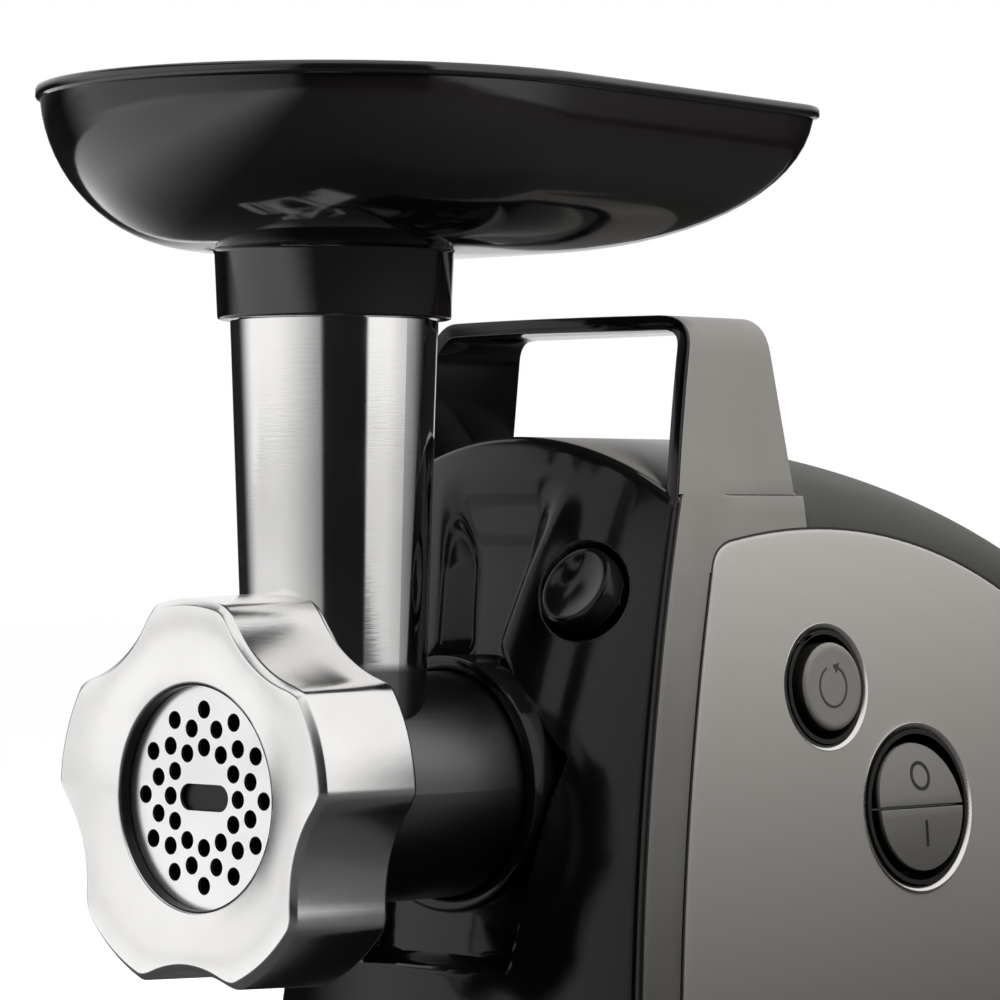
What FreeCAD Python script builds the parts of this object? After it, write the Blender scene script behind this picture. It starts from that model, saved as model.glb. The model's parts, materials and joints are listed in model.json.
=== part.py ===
import FreeCAD, Part
import math
import operator
import os
from types import SimpleNamespace

import Sketcher

# Electric meat grinder. +X is the side with the switches, -Y the mouth, +Z up.
# The origin is on the table, under the middle of the grinder's length.

Vector = FreeCAD.Vector
Rotation = FreeCAD.Rotation

driving_sizes = {
    # Stance and casing
    "worm_height": 135.0,        # worm axis above the table
    "foot_height": 8.0,
    "foot_r": 13.0,
    "foot_stem_r": 4.3,
    "foot_chamfer": 1.5,
    "foot_side": 46.0,           # feet from the middle plane
    "foot_front": 62.0,          # front feet ahead of the origin
    "foot_tail": 54.5,           # rear feet ahead of the casing's end
    "base_thick": 4.0,
    "vent_half": 28.0,
    "vent_width": 5.0,
    "vent_step": 12.0,
    "vent_start": 60.0,
    "vent_count": 5,
    "screw_r": 2.0,
    "screw_head_r": 4.0,
    "screw_boss_r": 5.0,
    "screw_boss_height": 12.0,
    "screw_side": 45.0,
    "screw_front": 40.0,
    "screw_tail": 34.5,
    "screw_blind": 2.0,          # boss above the screw's end
    "inlet_r": 8.0,
    "inlet_flange": 3.0,
    "inlet_proud": 2.5,
    "inlet_height": 38.0,
    "inlet_wall": 3.5,
    "inlet_depth": 14.0,
    "board_length": 46.0,
    "board_width": 60.0,
    "board_thick": 1.6,
    "board_stand": 6.0,
    "board_gap": 4.0,            # board behind the motor
    "board_inset": 4.0,          # stands from the board's long edges
    "choke_length": 24.0,
    "choke_height": 13.0,
    "half_width": 60.0,          # casing at the worm axis
    "side_lean": 0.08,           # inward lean of the sides, per unit of height
    "crest_height": 224.8,
    "shoulder_height": 208.0,
    "rear_reach": 194.5,         # rear end behind the origin
    "rear_start": 20.0,          # casing starts to fall this far ahead of the origin
    "rear_roundness": 2.0,
    "rear_crest_drop": 122.0,
    "rear_shoulder_drop": 130.0,
    "rear_narrowing": 27.0,
    "cover_wall": 4.5,
    "panel_thick": 2.5,
    "seam": 0.3,
    "cut_over": 1.0,             # cutters reach this far past what they cut
    # Front, crowned across and curved from base to handle
    "front_r": 763.4,
    "front_centre_y": 674.0,
    "front_centre_z": -29.0,
    "front_crown": 11.6,
    "front_wall": 2.4,
    "front_sweep": 60.0,         # degrees of the front's curve, past the base and the handle
    "frame_band": 16.6,          # front edge to side panel
    "frame_shoulder": 3.0,       # frame under the handle, to here ahead of the origin
    "frame_shoulder_drop": 14.0,
    "pocket_depth": 8.0,
    "pocket_wall": 2.5,
    "pocket_low": 47.0,          # pocket's lower end under the worm axis
    "pocket_low_half": 29.0,
    "pocket_waist_half": 35.0,
    "pocket_wing_half": 42.0,
    "pocket_wing_rise": 9.0,
    "pocket_knee_share": 0.4,    # bend between wing and neck, as a share of the rise
    "pocket_neck_half": 9.0,
    "pocket_neck_rise": 37.0,
    "pocket_top_half": 12.0,
    "pocket_top_rise": 76.0,
    # Side panel and its switches
    "panel_arc_r": 192.7,
    "panel_arc_tail": 193.3,     # arc's middle ahead of the casing's end
    "panel_corner_r": 15.4,
    "panel_knee_drop": 15.2,     # front corner under the arc's crest
    "panel_tail": 14.5,          # rear edge ahead of the casing's end
    "reverse_y": 0.0,
    "reverse_height": 159.3,
    "reverse_well_r": 15.0,
    "cap_dish": 1.2,             # hollow of a button's top
    "cap_edge": 1.0,
    "reverse_button_r": 11.6,
    "reverse_proud": 3.0,
    "reverse_skirt": 5.0,
    "reverse_stem_r": 3.0,
    "reverse_stem_reach": 3.0,   # stem past the well's floor
    "reverse_travel": 2.5,
    "reverse_body_r": 8.5,
    "spring_r": 6.0,
    "spring_wire_r": 0.4,
    "spring_turns": 3.0,
    "power_y": 34.7,
    "power_height": 126.5,
    "power_well_r": 20.75,
    "switch_body_r": 13.0,
    "switch_body_depth": 14.0,
    "rocker_r": 17.2,
    "rocker_proud": 0.6,
    "rocker_slope": 0.18,        # rise of the half that stands out
    "rocker_low": 7.0,
    "rocker_pivot_depth": 4.0,
    "well_wall": 1.2,
    "well_depth": 12.0,
    "well_lip": 0.4,
    "power_floor_hole": 4.0,
    "well_pin_r": 1.5,
    # Handle
    "handle_top": 256.0,
    "handle_lean": 0.17,         # inward lean of the legs, per unit of height
    "handle_thick": 3.8,
    "handle_skin": 1.2,
    "handle_rim": 1.2,           # black front rim
    "handle_corner_r": 9.0,
    "handle_corner_ease": 1.08,  # wider arc where a leaning leg meets the bar
    "handle_back_top": -11.0,
    "handle_back_low": -8.5,
    # Grinding head
    "mouth_reach": 172.0,        # ring nut face ahead of the origin
    "ring_r": 48.9,
    "ring_draft": 1.0,
    "ring_depth": 25.5,
    "ring_dish": 2.7,
    "ring_lip": 3.4,
    "ring_edge": 1.6,
    "mouth_r": 27.9,
    "scallop_floor_r": 42.3,
    "scallop_r": 37.0,
    "ring_lobes": 5,
    "thread_r": 37.0,
    "thread_length": 18.5,
    "thread_gap": 0.35,
    "plate_r": 31.0,
    "plate_thick": 6.0,
    "plate_stand": 1.2,
    "plate_hole_r": 2.25,
    "hole_ring_inner": 12.3,
    "hole_ring_middle": 17.4,
    "hole_ring_outer": 21.6,
    "holes_per_ring": 12,
    "plate_slot_length": 17.6,
    "plate_slot_width": 6.6,
    "plate_slot_depth": 1.9,
    "key_width": 3.0,
    "key_height": 2.4,
    "key_sink": 0.5,             # key into the barrel's wall
    "knife_r": 26.5,
    "knife_thick": 8.0,
    "knife_blade": 9.0,
    "knife_square": 10.0,
    "knife_tip": 1.5,            # blade ends inside the knife's circle
    "knife_bay_gap": 2.2,
    "square_gap": 0.1,
    "running_gap": 0.3,
    "bearing_gap": 0.06,
    "pin_r": 4.0,
    "pin_length": 3.2,
    "barrel_bore_r": 24.5,
    "barrel_wall": 4.6,
    "barrel_end_wall": 6.0,
    "barrel_shoulder": 8.0,      # taper from the thread to the barrel
    "barrel_insert": 20.0,
    "socket_reach": 83.5,        # socket rim ahead of the origin
    "socket_gap": 0.5,
    "socket_wall": 3.6,
    "flight_gap": 0.4,
    "flight_pitch": 25.0,
    "flight_tip": 3.0,
    "flight_root": 5.4,
    "flight_sink": 2.0,          # flight into the core
    "flight_start": 2.0,
    "flight_end": 1.0,
    "core_front_r": 9.5,
    "core_rear_r": 13.0,
    "journal_r": 8.0,
    "washer_thick": 2.0,
    "washer_r": 14.0,
    "drive_square": 10.0,
    "tube_setback": 50.0,        # feed tube axis behind the mouth
    "tube_rise": 118.0,          # visible tube end above the worm axis
    "tube_top_r": 26.25,
    "tube_draft": 0.0338,
    "tube_bore_r": 19.8,
    "spigot_r": 24.0,
    "spigot_height": 14.0,
    # Tray
    "collar_top_r": 30.2,
    "collar_low_r": 29.5,
    "collar_height": 18.0,
    "tray_r": 74.0,
    "tray_lip": 1.0,
    "tray_lip_height": 3.0,
    "tray_depth": 40.5,
    "tray_wall": 2.4,
    "tray_rear": 7.0,            # rear rim behind the origin
    "tray_rear_half": 58.0,
    "tray_corner_r": 18.0,
    "tray_rear_slope": 2.1,
    "tray_side_slope": 0.75,
    "tray_corner_taper": 3.0,
    # Release button
    "release_x": 34.0,
    "release_height": 185.0,
    "release_lean": 0.52,
    "release_r": 11.0,
    "release_rim_r": 13.2,
    "release_proud": 3.5,
    "release_travel": 3.0,
    "release_stem_r": 3.5,
    "release_skirt": 3.0,
    "release_chamfer": 2.0,      # bay's mouth, widening to the rim
    "release_bay": 8.5,          # depth of the button's bay
    "release_guide": 11.0,
    "release_stem": 18.0,
    "latch_thick": 2.5,
    "latch_slot": 2.6,
    "latch_gap": 0.5,
    "latch_set": 9.5,            # latch arm behind the barrel's end
    "latch_low": 14.0,           # latch finger above the worm axis
    "latch_finger": 7.0,
    "latch_rise": 48.0,          # latch arm's top above the worm axis
    "latch_x": 17.0,
    "latch_width": 6.0,
    # Gear train
    "case_reach": 45.0,          # gear case front ahead of the origin
    "case_end": 4.0,             # end walls
    "case_wall": 2.5,
    "case_depth": 32.0,
    "case_margin": 1.5,
    "case_foot_half": 24.0,
    "wheel_teeth": 54,
    "wheel_module": 1.5,
    "wheel_width": 12.0,
    "second_pinion_teeth": 12,
    "second_teeth": 70,
    "second_module": 1.0,
    "second_width": 8.0,
    "motor_pinion_teeth": 10,
    "motor_lead_teeth": 4,       # teeth of the layshaft wheel that the motor is swung round by
    "pinion_over": 1.0,          # motor pinion past its wheel, each side
    "pressure_angle": 20.0,
    "wheel_addendum": 0.6,       # stub teeth, so that the small pinions stay clear of undercut
    "pinion_addendum": 1.0,
    "tooth_clearance": 0.25,
    "backlash": 0.2,
    "shaft_r": 8.5,
    "shaft_gap": 1.0,
    "shaft_socket": 13.0,
    "bush_r": 11.0,
    "bush_boss": 10.0,
    "second_shaft_r": 4.0,
    "second_bush_r": 6.5,
    "gear_gap": 2.0,
    # Motor
    "motor_shaft_r": 3.0,
    "motor_bearing_r": 8.0,
    "motor_r": 38.0,
    "motor_foot_half": 15.0,
    "motor_gap": 3.0,
    "plate_metal": 4.0,
    "rear_plate_trim": 1.6,      # rear plate smaller than the front one, under the falling roof
    "stator_length": 46.0,
    "stator_bore_r": 23.0,
    "air_gap": 0.7,
    "coil_reach": 9.0,
    "commutator_r": 12.0,
    "commutator_length": 18.0,
    "fan_r": 29.0,
    "fan_length": 8.0,
    "fan_sheet": 1.5,
    "fan_blades": 8,
    "tie_r": 2.2,
    "tie_ring_r": 33.5,
    "brush_side": 7.0,
    "brush_length": 14.0,
}

doc = FreeCAD.newDocument("meat_grinder")
sheet = doc.addObject("Spreadsheet::Sheet", "dims")
for row, (alias, number) in enumerate(driving_sizes.items(), start=1):
    sheet.set("A%d" % row, alias)
    sheet.set("B%d" % row, str(number))
    sheet.setAlias("B%d" % row, alias)
doc.recompute()

arithmetic = {"+": operator.add, "-": operator.sub, "*": operator.mul, "/": operator.truediv}


class Size:
    # A number together with the sheet expression that gives it.
    def __init__(self, value, text):
        self.value = value
        self.text = text

    def __add__(self, other):
        return combined(self, "+", other)

    def __radd__(self, other):
        return combined(other, "+", self)

    def __sub__(self, other):
        return combined(self, "-", other)

    def __rsub__(self, other):
        return combined(other, "-", self)

    def __mul__(self, other):
        return combined(self, "*", other)

    def __rmul__(self, other):
        return combined(other, "*", self)

    def __truediv__(self, other):
        return combined(self, "/", other)

    def __rtruediv__(self, other):
        return combined(other, "/", self)

    def __neg__(self):
        return combined(0, "-", self)


def as_size(number):
    if isinstance(number, Size):
        return number
    return Size(number, "(%r)" % number)


def combined(left, sign, right):
    left, right = as_size(left), as_size(right)
    value = arithmetic[sign](left.value, right.value)
    return Size(value, "(%s %s %s)" % (left.text, sign, right.text))


def power(base, exponent):
    base, exponent = as_size(base), as_size(exponent)
    return Size(base.value ** exponent.value, "(%s ^ %s)" % (base.text, exponent.text))


def root(size):
    return Size(math.sqrt(size.value), "sqrt(%s)" % size.text)


def sine(degrees):
    return Size(math.sin(math.radians(degrees.value)), "sin(%s)" % degrees.text)


def cosine(degrees):
    return Size(math.cos(math.radians(degrees.value)), "cos(%s)" % degrees.text)


def slope_angle(slope):
    return Size(math.degrees(math.atan(slope.value)), "(atan(%s) / 1 deg)" % slope.text)


d = SimpleNamespace(**{alias: Size(sheet.get(alias), "dims." + alias) for alias in driving_sizes})


# Ways of making pieces

def bind(thing, path, size):
    thing.setExpression(path, as_size(size).text)


def place(piece, x=0, y=0, z=0):
    for axis, size in (("x", x), ("y", y), ("z", z)):
        bind(piece, "Placement.Base." + axis, size)
    return piece


def new_body(name):
    return doc.addObject("PartDesign::Body", name)


def new_sketch(body, plane, name):
    sketch = body.newObject("Sketcher::SketchObject", name)
    support = [item for item in body.Origin.OriginFeatures if item.Role == plane + "_Plane"]
    sketch.AttachmentSupport = [(support[0], "")]
    sketch.MapMode = "FlatFace"
    return sketch


def arc_middle(start, end, radius):
    # A positive radius bulges to the right of the way from start to end.
    chord = end - start
    half = chord.Length / 2
    rise = abs(radius) - math.sqrt(radius * radius - half * half)
    right = Vector(chord.y, -chord.x, 0).normalize()
    return (start + end) * 0.5 + right * math.copysign(rise, radius)


def draw_outline(sketch, corners):
    # Each corner is (across, up) or (across, up, radius of the arc to the next corner).
    points = [Vector(as_size(c[0]).value, as_size(c[1]).value, 0) for c in corners]
    count = len(points)
    for index, corner in enumerate(corners):
        start, end = points[index], points[(index + 1) % count]
        if len(corner) == 3:
            middle = arc_middle(start, end, as_size(corner[2]).value)
            sketch.addGeometry(Part.Arc(start, middle, end), False)
        else:
            sketch.addGeometry(Part.LineSegment(start, end), False)

    def end_at(index, point):
        return 1 if sketch.getPoint(index, 1).distanceToPoint(point) < 1e-6 else 2

    for index, corner in enumerate(corners):
        before = (index - 1) % count
        here = end_at(index, points[index])
        there = end_at(before, points[index])
        sketch.addConstraint(Sketcher.Constraint("Coincident", before, there, index, here))
        for kind, size in (("DistanceX", corner[0]), ("DistanceY", corner[1])):
            value = as_size(size).value
            number = sketch.addConstraint(Sketcher.Constraint(kind, -1, 1, index, here, value))
            bind(sketch, "Constraints[%d]" % number, size)
        if len(corner) == 3:
            signed = as_size(corner[2])
            number = sketch.addConstraint(Sketcher.Constraint("Radius", index, abs(signed.value)))
            bind(sketch, "Constraints[%d]" % number, signed if signed.value > 0 else -signed)
    return sketch


def prism(name, plane, corners, start, end):
    body = new_body(name)
    sketch = draw_outline(new_sketch(body, plane, name + "_outline"), corners)
    pad = body.newObject("PartDesign::Pad", name + "_pad")
    pad.Profile = sketch
    bind(pad, "Length", end - start)
    axis = {"XY": "z", "XZ": "y", "YZ": "x"}[plane]
    bind(body, "Placement.Base." + axis, end if plane == "XZ" else start)
    return body


def turned(name, plane, corners):
    # On XY the piece turns about Y, on XZ about Z.
    body = new_body(name)
    sketch = draw_outline(new_sketch(body, plane, name + "_profile"), corners)
    revolution = body.newObject("PartDesign::Revolution", name + "_turn")
    revolution.Profile = sketch
    revolution.ReferenceAxis = (sketch, ["V_Axis"])
    revolution.Angle = 360
    return body


def ring_about_y(name, inner, outer, start, end, z, x=0):
    corners = [(inner, start), (outer, start), (outer, end), (inner, end)]
    return place(turned(name, "XY", corners), x, 0, z)


def rod(name, radius, start, end, z, x=0):
    # A cylinder along Y.
    piece = doc.addObject("Part::Cylinder", name)
    bind(piece, "Radius", radius)
    bind(piece, "Height", end - start)
    piece.Placement.Rotation = Rotation(Vector(1, 0, 0), -90)
    return place(piece, x, start, z)


def post(name, radius, low, high, x, y):
    # A cylinder along Z.
    piece = doc.addObject("Part::Cylinder", name)
    bind(piece, "Radius", radius)
    bind(piece, "Height", high - low)
    return place(piece, x, y, low)


def block(name, x, y, z):
    # A box from (low, high) pairs.
    piece = doc.addObject("Part::Box", name)
    for side, (low, high) in zip(("Length", "Width", "Height"), (x, y, z)):
        bind(piece, side, high - low)
    return place(piece, x[0], y[0], z[0])


def fuse(name, *pieces):
    joined = doc.addObject("Part::MultiFuse", name)
    joined.Shapes = list(pieces)
    joined.Refine = True
    return joined


def common(name, *pieces):
    shared = doc.addObject("Part::MultiCommon", name)
    shared.Shapes = list(pieces)
    shared.Refine = True
    return shared


def cut(name, base, *tools):
    result = doc.addObject("Part::Cut", name)
    result.Base = base
    result.Tool = tools[0] if len(tools) == 1 else fuse(name + "_tools", *tools)
    result.Refine = True
    return result


def group(name, pieces):
    bundle = doc.addObject("Part::Compound", name)
    bundle.Links = list(pieces)
    return bundle


def solid(name, shape):
    piece = doc.addObject("Part::Feature", name)
    piece.Shape = shape
    return piece


nodes = {}


def keep(label, piece):
    piece.Label = label
    nodes[label] = piece
    return piece


# Levels and stations shared by many pieces

axis_z = d.worm_height
base_low = d.foot_height
base_high = base_low + d.base_thick
mouth = -d.mouth_reach
opening_y = mouth + d.ring_dish
plate_front = opening_y + d.ring_lip
plate_back = plate_front + d.plate_thick
knife_front = plate_back + d.running_gap
knife_back = knife_front + d.knife_thick
barrel_front = plate_front + d.plate_stand
seat_r = d.plate_r + d.running_gap
key_low = axis_z - seat_r - d.key_sink
key_top = key_low + d.key_height
barrel_r = d.barrel_bore_r + d.barrel_wall
socket_face = -d.socket_reach
barrel_back = socket_face + d.barrel_insert
barrel_floor = barrel_back - d.barrel_end_wall
socket_r = barrel_r + d.socket_gap
tube_y = mouth + d.tube_setback
tube_top = axis_z + d.tube_rise
spigot_top = tube_top + d.spigot_height
case_front = -d.case_reach
case_inner = case_front + d.case_end
lid_front = case_front + d.case_depth
lid_back = lid_front + d.case_end
wheel_r = d.wheel_teeth * d.wheel_module / 2
second_z = axis_z - (d.wheel_teeth + d.second_pinion_teeth) * d.wheel_module / 2
second_r = d.second_teeth * d.second_module / 2
motor_turn = -360 * d.motor_lead_teeth / d.second_teeth
motor_reach = (d.second_teeth + d.motor_pinion_teeth) * d.second_module / 2
motor_x = motor_reach * sine(motor_turn)
motor_z = second_z + motor_reach * cosine(motor_turn)
front_crown_r = (d.half_width * d.half_width + d.front_crown * d.front_crown) / (2 * d.front_crown)
wide = d.half_width * 2
past_rear = d.rear_reach + d.inlet_depth
under_base = base_low - d.cut_over
over_base = base_high + d.cut_over


def half_width_at(height):
    return d.half_width + d.side_lean * (axis_z - height)


def front_y(inset, height):
    # The front edge at the casing's sides, set back by inset.
    reach = d.front_r - inset
    drop = height - d.front_centre_z
    return d.front_centre_y - root(reach * reach - drop * drop)


# Casing forms that the shells are cut from

def casing(name, inset):
    # Upright sections: level at the front, then falling and narrowing to the rear.
    def fall(share):
        return 1 - power(1 - power(share, d.rear_roundness), 1 / d.rear_roundness)

    run = d.rear_reach - inset + d.rear_start
    stations = [(-(d.mouth_reach - d.tube_setback), as_size(0))]
    shares = (0, 0.35, 0.64, 0.84, 0.95, 1)  # closer together where the fall steepens
    for share in shares:
        stations.append((share * run - d.rear_start, fall(share)))
    body = new_body(name)
    sketches = []
    for index, (station, fallen) in enumerate(stations):
        sketch = new_sketch(body, "XZ", "%s_section%d" % (name, index))
        bind(sketch, "AttachmentOffset.Base.z", -station)
        shoulder_z = d.shoulder_height - d.rear_shoulder_drop * fallen
        narrow = d.rear_narrowing * fallen + inset
        low_half = half_width_at(base_low) - narrow
        high_half = half_width_at(shoulder_z) - narrow
        rise = d.crest_height - d.rear_crest_drop * fallen - shoulder_z
        crown_r = (high_half * high_half + rise * rise) / (2 * rise)
        corners = [
            (-low_half, base_low),
            (low_half, base_low),
            (high_half, shoulder_z - inset, crown_r),
            (-high_half, shoulder_z - inset),
        ]
        sketches.append(draw_outline(sketch, corners))
    loft = body.newObject("PartDesign::AdditiveLoft", name + "_loft")
    loft.Profile = sketches[0]
    loft.Sections = sketches[1:]
    return body


def front_drum(name, inset):
    # Everything behind the front face once that is set back by inset.
    reach = d.front_r - inset
    side = (d.half_width + wide) / 2
    crown_r = front_crown_r
    side_drop = crown_r - root(crown_r * crown_r - side * side)
    side_y = side_drop - d.front_crown - reach
    deep = -(d.front_r - d.rear_reach * 2)
    body = new_body(name)
    corners = [(-side, side_y, crown_r), (side, side_y), (side, deep), (-side, deep)]
    sketch = draw_outline(new_sketch(body, "XY", name + "_plan"), corners)
    revolution = body.newObject("PartDesign::Revolution", name + "_turn")
    revolution.Profile = sketch
    revolution.ReferenceAxis = (sketch, ["H_Axis"])
    revolution.Midplane = True
    bind(revolution, "Angle", d.front_sweep)
    return place(body, 0, d.front_centre_y, d.front_centre_z)


casing_out = casing("casing_out", as_size(0))
casing_panel = casing("casing_panel", d.panel_thick)
casing_in = casing("casing_in", d.cover_wall)
drum_face = front_drum("drum_face", as_size(0))
drum_rim = front_drum("drum_rim", d.handle_rim)
drum_wall = front_drum("drum_wall", d.front_wall)
drum_frame = front_drum("drum_frame", d.frame_band)
drum_panel = front_drum("drum_panel", d.frame_band + d.seam)
under_shells = block("under_shells", (-wide, wide), (-d.mouth_reach, past_rear), (under_base, base_high))


def across(name, corners):
    return prism(name, "YZ", corners, -wide, wide)


# Base plate, feet and screws

def make_base():
    slab = block("base_slab", (-wide, wide), (-d.mouth_reach, past_rear), (base_low, base_high))
    plate = common("base_form", casing_out, drum_face, slab)
    through = (under_base, over_base)
    vents = []
    for index in range(int(d.vent_count.value)):
        y = d.vent_start + index * d.vent_step
        vents.append(block("vent%d" % index, (-d.vent_half, d.vent_half), (y, y + d.vent_width), through))
    foot_ends = (-d.foot_front, d.rear_reach - d.foot_tail)
    foot_spots = [(side * d.foot_side, y) for side in (-1, 1) for y in foot_ends]
    feet, seats = [], []
    for index, (x, y) in enumerate(foot_spots):
        seats.append(post("foot_seat%d" % index, d.foot_stem_r, *through, x, y))
        feet.append(place(turned("foot%d" % index, "XZ", [
            (0, 0), (d.foot_r - d.foot_chamfer, 0), (d.foot_r, d.foot_chamfer), (d.foot_r, base_low),
            (d.foot_stem_r, base_low), (d.foot_stem_r, base_high), (0, base_high)]), x, y, 0))
    keep("rubber_feet", group("feet_group", feet))
    boss_top = base_high + d.screw_boss_height
    screw_top = boss_top - d.screw_blind
    screw_low = base_low - d.screw_r
    screw_ends = (-d.screw_front, d.rear_reach - d.screw_tail)
    screw_spots = [(side * d.screw_side, y) for side in (-1, 1) for y in screw_ends]
    screws, bores, bosses = [], [], []
    for index, (x, y) in enumerate(screw_spots):
        bosses.append(post("boss%d" % index, d.screw_boss_r, base_low, boss_top, x, y))
        bores.append(post("screw_bore%d" % index, d.screw_r, under_base, screw_top, x, y))
        screws.append(place(turned("screw%d" % index, "XZ", [
            (0, screw_low), (d.screw_head_r - d.screw_r / 2, screw_low), (d.screw_head_r, base_low),
            (d.screw_r, base_low), (d.screw_r, screw_top), (0, screw_top)]), x, y, 0))
    keep("base_screws", group("screw_group", screws))
    bossed = fuse("base_with_bosses", plate, *bosses)
    keep("base_plate", cut("base_plate_cut", bossed, *vents, *seats, *bores))


def make_circuit_board():
    half_x, half_y = d.board_width / 2, d.board_length / 2
    middle = rear_plate_back + d.board_gap + half_y
    low = base_high + d.board_stand
    top = low + d.board_thick
    board = block("board_sheet", (-half_x, half_x), (middle - half_y, middle + half_y), (low, top))
    stand_x, stand_y = half_x - d.board_inset, half_y - d.board_inset
    spots = [(x, middle + y) for x in (-stand_x, stand_x) for y in (-stand_y, stand_y)]
    stands = [post("board_stand%d" % index, d.screw_r, base_high, top, x, y)
              for index, (x, y) in enumerate(spots)]
    half_choke = d.choke_length / 2
    choke = block("board_choke", (-half_choke, half_choke), (middle - half_choke, middle + half_choke),
                  (low, low + d.choke_height))
    keep("circuit_board", fuse("board_form", board, choke, *stands))


def make_cord_inlet():
    flange = d.inlet_r + d.inlet_flange
    bore = d.inlet_r - d.inlet_wall
    back = d.rear_reach
    end = back - d.inlet_depth
    keep("cord_inlet", place(turned("inlet_bush", "XY", [
        (bore, end), (d.inlet_r, end), (d.inlet_r, back), (flange, back),
        (d.inlet_r, back + d.inlet_proud), (bore, back + d.inlet_proud)]), 0, 0, d.inlet_height))


# Front shell with its pocket, socket and the handle's black front

def arch_band(name, outer_inset, inner_inset):
    # The handle's arch across the casing, between two insets from its outside.
    def half(height, inset):
        return half_width_at(d.shoulder_height) - d.handle_lean * (height - d.shoulder_height) - inset

    low = d.shoulder_height + d.seam
    top = d.handle_top
    outer_r = d.handle_corner_r - outer_inset
    inner_r = d.handle_corner_r - inner_inset
    outer_bend = outer_r * d.handle_corner_ease
    inner_bend = -inner_r * d.handle_corner_ease
    knee_out = top - outer_inset - outer_r
    knee_in = top - inner_inset - inner_r
    outside = [
        (half(low, outer_inset), low),
        (half(knee_out, outer_inset), knee_out, outer_bend),
        (half(top, outer_inset) - outer_r, top - outer_inset),
        (-half(top, outer_inset) + outer_r, top - outer_inset, outer_bend),
        (-half(knee_out, outer_inset), knee_out),
        (-half(low, outer_inset), low),
    ]
    inside = [
        (-half(low, inner_inset), low),
        (-half(knee_in, inner_inset), knee_in, inner_bend),
        (-half(top, inner_inset) + inner_r, top - inner_inset),
        (half(top, inner_inset) - inner_r, top - inner_inset, inner_bend),
        (half(knee_in, inner_inset), knee_in),
        (half(low, inner_inset), low),
    ]
    return prism(name, "XZ", outside + inside, -d.mouth_reach, as_size(0))


def handle_side():
    # The handle's side view: the legs widen a little towards the foot.
    low, high = d.shoulder_height, d.handle_top + d.cut_over
    front = -d.mouth_reach
    corners = [(front, low), (d.handle_back_low, low), (d.handle_back_top, high), (front, high)]
    return across("handle_side", corners)


def make_handle():
    side = handle_side()
    skin = d.handle_thick - d.handle_skin
    grey = common("handle_grey", arch_band("arch_outer", as_size(0), skin), side, drum_rim)
    keep("carry_handle", cut("carry_handle_cut", grey, casing_out))
    lining = common("handle_lining", arch_band("arch_inner", skin, d.handle_thick), side, drum_rim)
    whole = arch_band("arch_rim", as_size(0), d.handle_thick)
    rim = cut("handle_rim_cut", common("handle_rim_form", whole, drum_face), drum_rim)
    return cut("handle_black", fuse("handle_black_form", lining, rim), casing_out)


def pocket_outline(grow):
    # Front view of the recess round the socket: a channel above, a tongue below.
    lift = d.pocket_neck_rise - d.pocket_wing_rise
    knee_half = (d.pocket_wing_half + d.pocket_neck_half) / 2
    knee_rise = d.pocket_wing_rise + lift * d.pocket_knee_share
    right = [
        (d.pocket_low_half + grow, axis_z - d.pocket_low - grow),
        (d.pocket_waist_half + grow, axis_z - d.pocket_wing_rise / 2),
        (d.pocket_wing_half + grow, axis_z + d.pocket_wing_rise + grow),
        (knee_half + grow, axis_z + knee_rise + grow),
        (d.pocket_neck_half + grow, axis_z + d.pocket_neck_rise + grow),
        (d.pocket_top_half + grow, axis_z + d.pocket_top_rise + grow),
    ]
    left = [(-x, z) for x, z in reversed(right)]
    return right + left


def on_button_axis(piece):
    # Stands a turned piece on the release button's leaning axis.
    upright = 90 - slope_angle(d.release_lean)
    piece.Placement.Rotation = Rotation(Vector(1, 0, 0), upright.value)
    bind(piece, "Placement.Rotation.Angle", upright)
    crown = root(front_crown_r * front_crown_r - d.release_x * d.release_x) - front_crown_r + d.front_crown
    return place(piece, d.release_x, front_y(0, d.release_height) - crown, d.release_height)


def make_front(handle_black):
    face = cut("front_face", common("front_form", casing_out, drum_face), drum_wall, under_shells)
    backing_drum = front_drum("drum_backing", d.pocket_depth + d.pocket_wall)
    floor_drum = front_drum("drum_floor", d.pocket_depth)
    walls = prism("pocket_walls", "XZ", pocket_outline(d.pocket_wall), mouth, as_size(0))
    backing = cut("pocket_backing", common("pocket_form", walls, drum_face, casing_out), backing_drum)
    hollow = prism("pocket_prism", "XZ", pocket_outline(as_size(0)), mouth, as_size(0))
    recess = cut("pocket_recess", hollow, floor_drum)
    guide_r = d.release_rim_r + d.front_wall
    guide_top = d.release_chamfer
    guide = on_button_axis(turned("release_guide", "XZ", [
        (0, -d.release_guide), (guide_r, -d.release_guide), (guide_r, guide_top), (0, guide_top)]))
    guide = common("guide_form", guide, drum_face, casing_in)
    socket_out = socket_r + d.socket_wall
    socket = ring_about_y("socket_ring", socket_r, socket_out, socket_face, barrel_back, axis_z)
    passage = rod("socket_passage", socket_r, mouth, case_front, axis_z)
    bay_r = d.release_r + d.running_gap
    rim_r = d.release_rim_r
    bay = on_button_axis(turned("release_bay_cut", "XZ", [
        (0, -d.release_bay), (bay_r, -d.release_bay), (bay_r, -d.release_chamfer), (rim_r, 0),
        (rim_r, rim_r), (0, rim_r)]))
    stem_r = d.release_stem_r + d.running_gap
    hole_low, hole_high = -2 * d.release_guide, -d.release_bay / 2
    stem_hole = on_button_axis(turned("release_stem_hole", "XZ", [
        (0, hole_low), (stem_r, hole_low), (stem_r, hole_high), (0, hole_high)]))
    shell = cut("front_opened", fuse("front_solid", face, backing, guide), recess, passage)
    shell = cut("front_bored", shell, bay, stem_hole)
    keep("front_shell", fuse("front_shell_form", shell, socket, handle_black))


# Frame band, main cover and side panels

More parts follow.
